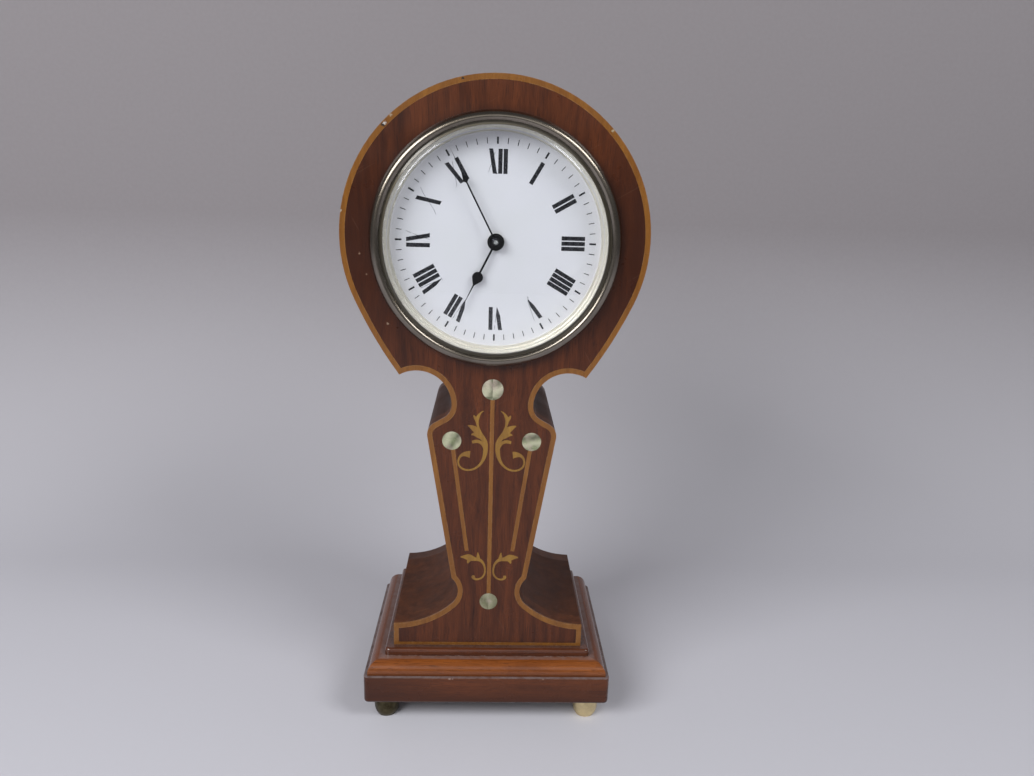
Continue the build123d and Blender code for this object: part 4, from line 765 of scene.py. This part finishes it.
class CLOCK_OT_feet(bpy.types.Operator):
    """Finishes the turned brass feet"""
    bl_idname = "clock.feet"
    bl_label = "Feet"

    def execute(self, context):
        metals = context.scene.clock_metals
        material, tree, where = new_material("Foot brass")
        # The left foot goes near black with more tarnish: a painted shadow over real tarnish
        left = remap(tree, axes(tree, where)["X"], -0.01, -0.03)
        amount = plus(tree, 0.35, times(tree, left, 0.75))
        film = use(tree, "Tarnish", Vector=where, Clean=(0.8, 0.66, 0.38), Film=metals.brass_tarnish,
                Amount=amount, Cloud_size=0.004, Smooth=0.28, Dull=0.5)
        rubbed_and_highlit = use(tree, "Edge wear", Radius=0.0006, Amount=0.4)["Mask"]
        worn = mix(tree, rubbed_and_highlit, film["Color"], (0.86, 0.76, 0.5))
        surface(material, Base_Color=mix(tree, times(tree, left, 0.88), worn, (0.022, 0.02, 0.011)),
                Roughness=film["Roughness"], Metallic=1.0,
                Normal=bump(tree, noise(tree, where, 1500.0, 3.0), 0.00003, 0.5))
        dress(material, "foot_buns")
        return {"FINISHED"}


# Dial

HOUR_TURN = math.radians(30.0)
# How far a five-minute tick is longer than a minute tick at each end
HOUR_TICK_EXTRA = 0.2 * MM
# Share of a pointed stroke that its point takes
POINT_SHARE = 0.36


def dial_point(hour, across, radius):
    """Place on the dial: across runs clockwise from the hour's middle line, radius outwards."""
    turn = HOUR_TURN * hour
    return (DIAL_CENTRE.x + radius * math.sin(turn) + across * math.cos(turn),
            DIAL_CENTRE.z + radius * math.cos(turn) - across * math.sin(turn))


def printed(name, shapes, material, face, rise):
    """Closed thin layer on an upright face from outlines of (x, z); a rise below zero is backwards."""
    spots, faces = [], []
    for shape in shapes:
        spots += [(x, face - rise, z) for x, z in shape] + [(x, face, z) for x, z in shape]
        count = len(shape)
        front = list(range(len(spots) - 2 * count, len(spots) - count))
        back = [i + count for i in front]
        faces += [front, back[::-1]]
        faces += [[front[i - 1], back[i - 1], back[i], front[i]] for i in range(count)]
    piece = meshed(name, spots, faces, material)
    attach(piece, "case")


def bar(hour, inner, outer, width, foot, head, tip=0.0):
    """Thick stroke from across inner at the foot to across outer at the head; tip is its pointed share."""
    def at(share, side):
        middle_line = inner + (outer - inner) * share
        return dial_point(hour, middle_line + side * width / 2, foot + (head - foot) * share)
    if tip:
        return [at(0.0, 0.0), at(tip * 0.5, 0.55), at(tip, 1.0), at(1.0, 1.0), at(1.0, -1.0), at(tip, -1.0),
                at(tip * 0.5, -0.55)]
    return [at(0.0, 1.0), at(1.0, 1.0), at(1.0, -1.0), at(0.0, -1.0)]


# Thick strokes of each numeral by their place across in mm: one number if upright, or the places at the foot
# and at the head and whether the foot is pointed
THICK_STROKES = {
    1: [0.1], 2: [-1.15, 1.15], 3: [-2.2, 0.05, 2.3], 4: [-3.2, -1.05, 1.1, 3.2], 5: [(-0.2, -1.5, 1)],
    6: [(-1.1, -2.7, 1), 1.65], 7: [(-1.7, -3.7, 1), 0.6, 2.9],
    8: [(-2.7, -4.1, 1), -0.5, 1.75, (4.0, 4.2, 0)], 9: [-2.2, (2.1, 0.2, 0)], 10: [(1.7, -1.65, 0)],
    11: [(-0.56, -2.46, 0), (2.1, 2.2, 0)], 12: [(-1.0, -2.8, 0), 1.25, 3.5],
}
# Worn hairlines: points of across and radius in mm
HAIRLINES = {
    5: [[(-0.3, 28.9), (-0.9, 27.8), (-0.5, 30.5)], [(0.1, 29.5), (1.6, 38.9)]],
    6: [[(-1.1, 28.8), (-0.2, 38.9)]],
    7: [[(-1.6, 28.8), (-1.0, 38.9)]],
    8: [[(-2.6, 28.8), (-1.8, 38.9)], [(-3.4, 28.7), (-2.0, 28.7)]],
    9: [[(0.3, 28.9), (1.2, 32.0), (3.2, 37.6), (3.9, 39.2)], [(2.2, 28.8), (3.2, 28.9)]],
    10: [[(-3.6, 28.2), (-2.4, 29.6), (-1.2, 32.0), (1.4, 37.4), (3.0, 39.6)], [(1.8, 28.8), (2.8, 29.0)]],
    11: [[(-3.9, 28.4), (-3.0, 29.4), (-2.2, 32.0), (0.0, 38.6)], [(-2.4, 39.1), (-3.6, 39.2)]],
    12: [[(-4.6, 29.0), (-3.7, 29.5), (-3.0, 31.6), (-0.9, 38.2), (-0.2, 39.2)],
         [(-1.0, 28.8), (0.2, 28.8)]],
}


def hairline_shape(hour, points, width):
    """Closed outline of a thin line through points of across and radius."""
    left, right = [], []
    for index, (across, radius) in enumerate(points):
        before, after = points[max(index - 1, 0)], points[min(index + 1, len(points) - 1)]
        run, rise = after[0] - before[0], after[1] - before[1]
        share = width / 2 / math.hypot(run, rise)
        left.append((across - rise * share, radius + run * share))
        right.append((across + rise * share, radius - run * share))
    return [dial_point(hour, across * MM, radius * MM) for across, radius in left + right[::-1]]


def enamel():
    """White glass enamel, a little greyer at the rim, with faint hair cracks."""
    settings = bpy.context.scene.clock_dial
    material, tree, where = new_material("Dial enamel")
    radius = use(tree, "Turned lines", Vector=where, Centre=tuple(DIAL_CENTRE))["Radius"]
    base = mix(tree, remap(tree, radius, 0.036, 0.0465), settings.enamel, settings.enamel_shade)
    clouds = remap(tree, noise(tree, where, 60.0, 4.0, 0.6), 0.35, 0.65, 0.0, 0.25)
    aged = mix(tree, clouds, base, (0.66, 0.66, 0.68))
    cracks = add(tree, "TexVoronoi", {"Vector": where, "Scale": 55.0}, feature="DISTANCE_TO_EDGE")
    crack = times(tree, remap(tree, cracks.outputs["Distance"], 0.006, 0.0), 0.1)
    return surface(material, Base_Color=mix(tree, crack, aged, (0.35, 0.33, 0.32)),
            Roughness=remap(tree, clouds, 0.0, 0.25, 0.1, 0.2), Coat_Weight=0.5,
            Normal=bump(tree, noise(tree, where, 90.0), 0.00006, 0.3))


def black_print(name, tone, worn=None):
    """Fired black printing; worn is the noise value below which it has rubbed away."""
    material, tree, where = new_material(name)
    grain = noise(tree, where, 900.0, 3.0)
    shade = mix(tree, remap(tree, grain, 0.3, 0.7, 0.0, 0.25), tone, (0.02, 0.02, 0.03))
    if worn:
        surface(material, Alpha=remap(tree, noise(tree, where, 420.0, 3.0), worn - 0.05, worn + 0.05))
    return surface(material, Base_Color=shade, Roughness=remap(tree, grain, 0.3, 0.7, 0.22, 0.34),
            Normal=bump(tree, grain, 0.00001, 0.5))


class CLOCK_OT_dial(bpy.types.Operator):
    """Fires the enamel and prints the numerals and the minute ticks"""
    bl_idname = "clock.dial"
    bl_label = "Dial"

    def execute(self, context):
        dial = context.scene.clock_dial
        dress(enamel(), "dial")
        black = black_print("Dial black", dial.print_black)
        thick = []
        for hour, strokes in THICK_STROKES.items():
            for stroke in strokes:
                inner, outer, pointed = stroke if isinstance(stroke, tuple) else (stroke, stroke, 0)
                thick.append(bar(hour, inner * MM, outer * MM, dial.stroke, dial.numeral_foot,
                        dial.numeral_head, POINT_SHARE * pointed))
        rise = dial.print_rise
        printed("dial_numerals", thick, black, DIAL_FACE, rise)
        thin = [hairline_shape(hour, points, dial.hairline / MM)
                for hour, lines in HAIRLINES.items() for points in lines]
        printed("dial_hairlines", thin, black_print("Worn print", dial.print_faded, 0.43), DIAL_FACE, rise)
        ticks = []
        for minute in range(60):
            wide, extra = (dial.minute_tick, 0.0) if minute % 5 else (dial.hour_tick, HOUR_TICK_EXTRA)
            ticks.append(bar(minute / 5, 0.0, 0.0, wide, dial.tick_foot - extra, dial.tick_head + extra))
        printed("dial_minute_ticks", ticks, black, DIAL_FACE, rise)
        return {"FINISHED"}


class CLOCK_OT_hands(bpy.types.Operator):
    """Blacks the hands and polishes the pin that holds them"""
    bl_idname = "clock.hands"
    bl_label = "Hands"

    def execute(self, context):
        look = context.scene.clock_metals.hands, (0.03, 0.026, 0.03), (0.5, 0.003, 0.26, 0.4)
        dress(aged_metal("Blacked steel", *look), "hour_hand", "minute_hand", "cannon_pinion")
        dress(aged_metal("Collet", *look, centre=DIAL_CENTRE, inner=HAND_PIN), "hand_collet")
        return {"FINISHED"}


# Movement

# Wheels, each with the radius of its steel arbor and pinion in mm
WHEELS = {"centre_wheel": 0.0, "minute_wheel": 0.0, "hour_wheel": 0.0, "barrel": 0.0, "barrel_cover": 0.0,
          "intermediate_wheel": 2.4, "third_wheel": 1.9, "fourth_wheel": 1.4, "escape_wheel": 1.1,
          "balance_wheel": 0.8}
# Pivot jewels of the platform: (x, z) of the pivot, y of the face that holds the jewel, radius of its hole
PIVOT_JEWELS = {"escape_jewel": ((-7.76, 250.11), 12.6, 0.62), "lever_jewel": ((-9.41, 243.93), 12.6, 0.52),
                "balance_endstone": ((-11.02, 237.94), 17.3, 0.0)}
# Painted shadows of the small screws' slots, laid as thin dark sheets on the heads: (x, z) of the screw, y of
# its face, length and turn of the slot
SLOT_SHADOWS = (((0.0, 180.1), 43.4, 3.3, 20), ((0.0, 282.1), 43.4, 3.3, -35), ((-16.06, 230.73), 9.6, 2.4, 70),
         ((-12.27, 253.9), 9.6, 2.4, 15), ((-2.25, 237.17), 9.6, 2.4, -50), ((-1.07, 221.58), 10.6, 3.5, 40))
SLOT_HALF_WIDTH, SLOT_RISE = 0.22, 0.02 * MM


def ruby():
    """Clear red stone of the pivot jewels."""
    material, tree, where = new_material("Ruby")
    clouds = remap(tree, noise(tree, where, 900.0, 3.0), 0.3, 0.7, 0.0, 0.5)
    shade = mix(tree, clouds, bpy.context.scene.clock_metals.ruby, (0.62, 0.06, 0.12))
    return surface(material, Base_Color=shade, Roughness=remap(tree, clouds, 0.0, 0.5, 0.05, 0.12),
            Coat_Weight=1.0)


class CLOCK_OT_small_parts(bpy.types.Operator):
    """Sets the pivot jewels and lays painted shadows of the small screws' slots"""
    bl_idname = "clock.small_parts"
    bl_label = "Jewels and screw slots"

    def execute(self, context):
        stone = ruby()
        for name, (centre, face, hole) in PIVOT_JEWELS.items():
            profile = [(1.15, 0.0), (1.05, 0.1), (hole + 0.18, 0.07), (hole + 0.04, 0.02), (hole + 0.02, 0.0)]
            if not hole:
                profile = [(1.3, 0.0), (1.2, 0.12), (0.7, 0.2), (0.01, 0.24), (0.01, 0.0)]
            turned_piece(name, centre, face, profile, stone)
        # Thin dark sheets on the screw heads: painted shadow of the slots
        dark = black_print("Slot shadow", (0.01, 0.009, 0.008))
        for index, (centre, face, size, turn) in enumerate(SLOT_SHADOWS, 1):
            across = Vector((math.cos(math.radians(turn)), math.sin(math.radians(turn))))
            upward = Vector((-across.y, across.x))
            corners = [Vector(centre) + across * a * size / 2 + upward * b * SLOT_HALF_WIDTH
                    for a, b in ((-1, -1), (-1, 1), (1, 1), (1, -1))]
            printed("screw_slot_%d" % index, [[(x * MM, z * MM) for x, z in corners]], dark, face * MM,
                    -SLOT_RISE)
        return {"FINISHED"}


class CLOCK_OT_movement(bpy.types.Operator):
    """Finishes the plates, the wheels and the platform escapement"""
    bl_idname = "clock.movement"
    bl_label = "Movement"

    def execute(self, context):
        metals = context.scene.clock_metals
        brass = metals.brass, metals.brass_tarnish
        dress(aged_metal("Plate brass", *brass, (0.3, 0.03, 0.22, 0.4), "brushed", edge_wear_and_highlight=0.3),
              "front_plate", "back_plate", "pillars", "escape_potence")
        dress(aged_metal("Platform brass", (0.7, 0.58, 0.32), metals.brass_tarnish, (0.2, 0.02, 0.18, 0.34),
                "brushed", edge_wear_and_highlight=0.3), "platform_plate", "escape_bridge", "balance_cock", "setting_knob")
        for wheel, arbor in WHEELS.items():
            inner = (arbor * MM, metals.steel[:], 0.2) if arbor else None
            dress(aged_metal("Wheel brass " + wheel, *brass, (0.25, 0.008, 0.2, 0.36), "turned",
                    middle(wheel), inner), wheel)
        dress(aged_metal("Arbor steel", metals.steel, metals.steel_stain, (0.3, 0.004, 0.16, 0.32)),
              "centre_arbor", "barrel_arbor", "ratchet_wheel", "click", "click_spring", "regulator",
              "pallet_lever", "mainspring")
        dress(aged_metal("Blued steel", (0.035, 0.06, 0.2), (0.06, 0.04, 0.1), (0.4, 0.004, 0.18, 0.3)),
              "hairspring", "movement_screws")
        return {"FINISHED"}


# Studio

# Lamps: place, width and height in metres, and the setting that holds the watts
LAMPS = {"lamp_left": ((-0.78, -0.8, 0.86), (0.8, 0.5), "key_power"),
         "lamp_right": ((0.72, -0.62, 0.98), (0.5, 0.4), "second_power"),
         "lamp_front": ((0.0, -1.25, 0.8), (1.4, 0.7), "front_power")}
LAMP_TARGET = Vector((0.0, 0.0, 0.15))
SKY_TONE = (0.96, 0.97, 1.0, 1.0)


def studio_paper(studio):
    """Pale paper that darkens upwards, and that is clear from behind."""
    material, tree, where = new_material("Studio paper")
    parts = axes(tree, where)
    rise = remap(tree, plus(tree, parts["Z"], times(tree, parts["Y"], 0.25)), -0.03, 0.31)
    grain = remap(tree, noise(tree, where, 300.0, 3.0), 0.3, 0.7, 0.0, 0.04)
    tone = mix(tree, rise, studio.floor, studio.backdrop)
    clear_where(tree, add(tree, "NewGeometry").outputs["Backfacing"])
    return surface(material, Base_Color=mix(tree, grain, tone, (0.5, 0.5, 0.52)), Roughness=0.75,
            Specular_IOR_Level=0.2)


def sweep(studio):
    """Floor that rises into a backdrop in one smooth curve."""
    back, radius, half, front, top, steps = 0.34, 0.22, 2.2, -1.6, 2.0, 24
    profile = [(front, 0.0), (back - radius, 0.0)]
    profile += [(back - radius + radius * math.sin(a), radius - radius * math.cos(a))
            for a in (math.pi / 2 * i / steps for i in range(1, steps + 1))]
    profile.append((back, top))
    spots = [(x, y, z) for x in (-half, half) for y, z in profile]
    count = len(profile)
    faces = [(i, count + i, count + i + 1, i + 1) for i in range(count - 1)]
    piece = meshed("studio_sweep", spots, faces, studio_paper(studio))
    for face in piece.data.polygons:
        face.use_smooth = True


def lamp(name, place, size, watts):
    light = bpy.data.lights.new(name, "AREA")
    light.shape = "RECTANGLE"
    light.size, light.size_y = size
    light.energy = watts
    piece = linked(name, light)
    piece.location = place
    piece.rotation_euler = (LAMP_TARGET - Vector(place)).to_track_quat("-Z", "Y").to_euler()


class CLOCK_OT_studio(bpy.types.Operator):
    """Sets up the camera, the lamps and the pale background"""
    bl_idname = "clock.studio"
    bl_label = "Studio"

    def execute(self, context):
        scene, studio = context.scene, context.scene.clock_studio
        camera = bpy.data.cameras.new("camera")
        camera.sensor_fit = "HORIZONTAL"
        camera.sensor_width = SENSOR_WIDTH
        camera.lens = studio.lens
        camera.clip_start = 0.01
        eye = linked("camera", camera)
        eye.location = studio.eye
        eye.rotation_euler = Euler(studio.aim, "XYZ")
        scene.camera = eye
        sweep(studio)
        for name, (place, size, power) in LAMPS.items():
            lamp(name, place, size, getattr(studio, power))
        scene.world = bpy.data.worlds.new("Studio")
        scene.world.use_nodes = True
        background = scene.world.node_tree.nodes["Background"].inputs
        background["Color"].default_value = SKY_TONE
        background["Strength"].default_value = studio.sky
        scene.view_settings.view_transform = "Standard"
        return {"FINISHED"}


class CLOCK_PT_panel(bpy.types.Panel):
    """Lists the clock's steps and settings"""
    bl_idname = "CLOCK_PT_panel"
    bl_label = "Balloon clock"
    bl_space_type = "VIEW_3D"
    bl_region_type = "UI"
    bl_category = "Clock"

    def draw(self, context):
        for step in STEPS:
            self.layout.operator(step.bl_idname)
        for key, group in SETTINGS.items():
            box = self.layout.box()
            for name in group.__annotations__:
                box.prop(getattr(context.scene, key), name)


STEPS = (CLOCK_OT_studio, CLOCK_OT_case_woods, CLOCK_OT_plinth_woods, CLOCK_OT_inlay, CLOCK_OT_feet,
         CLOCK_OT_bezel_and_glass, CLOCK_OT_dial, CLOCK_OT_hands, CLOCK_OT_movement, CLOCK_OT_small_parts,
         CLOCK_OT_back_fittings)


def register():
    for key, group in SETTINGS.items():
        bpy.utils.register_class(group)
        setattr(bpy.types.Scene, key, bpy.props.PointerProperty(type=group))
    for step in (*STEPS, CLOCK_PT_panel):
        bpy.utils.register_class(step)


def unregister():
    for step in (CLOCK_PT_panel, *reversed(STEPS)):
        bpy.utils.unregister_class(step)
    for key, group in reversed(SETTINGS.items()):
        delattr(bpy.types.Scene, key)
        bpy.utils.unregister_class(group)


def main():
    register()
    for make in SHARED_EFFECTS:
        make()
    for step in STEPS:
        area, name = step.bl_idname.split(".")
        getattr(getattr(bpy.ops, area), name)()


if __name__ == "__main__":
    main()
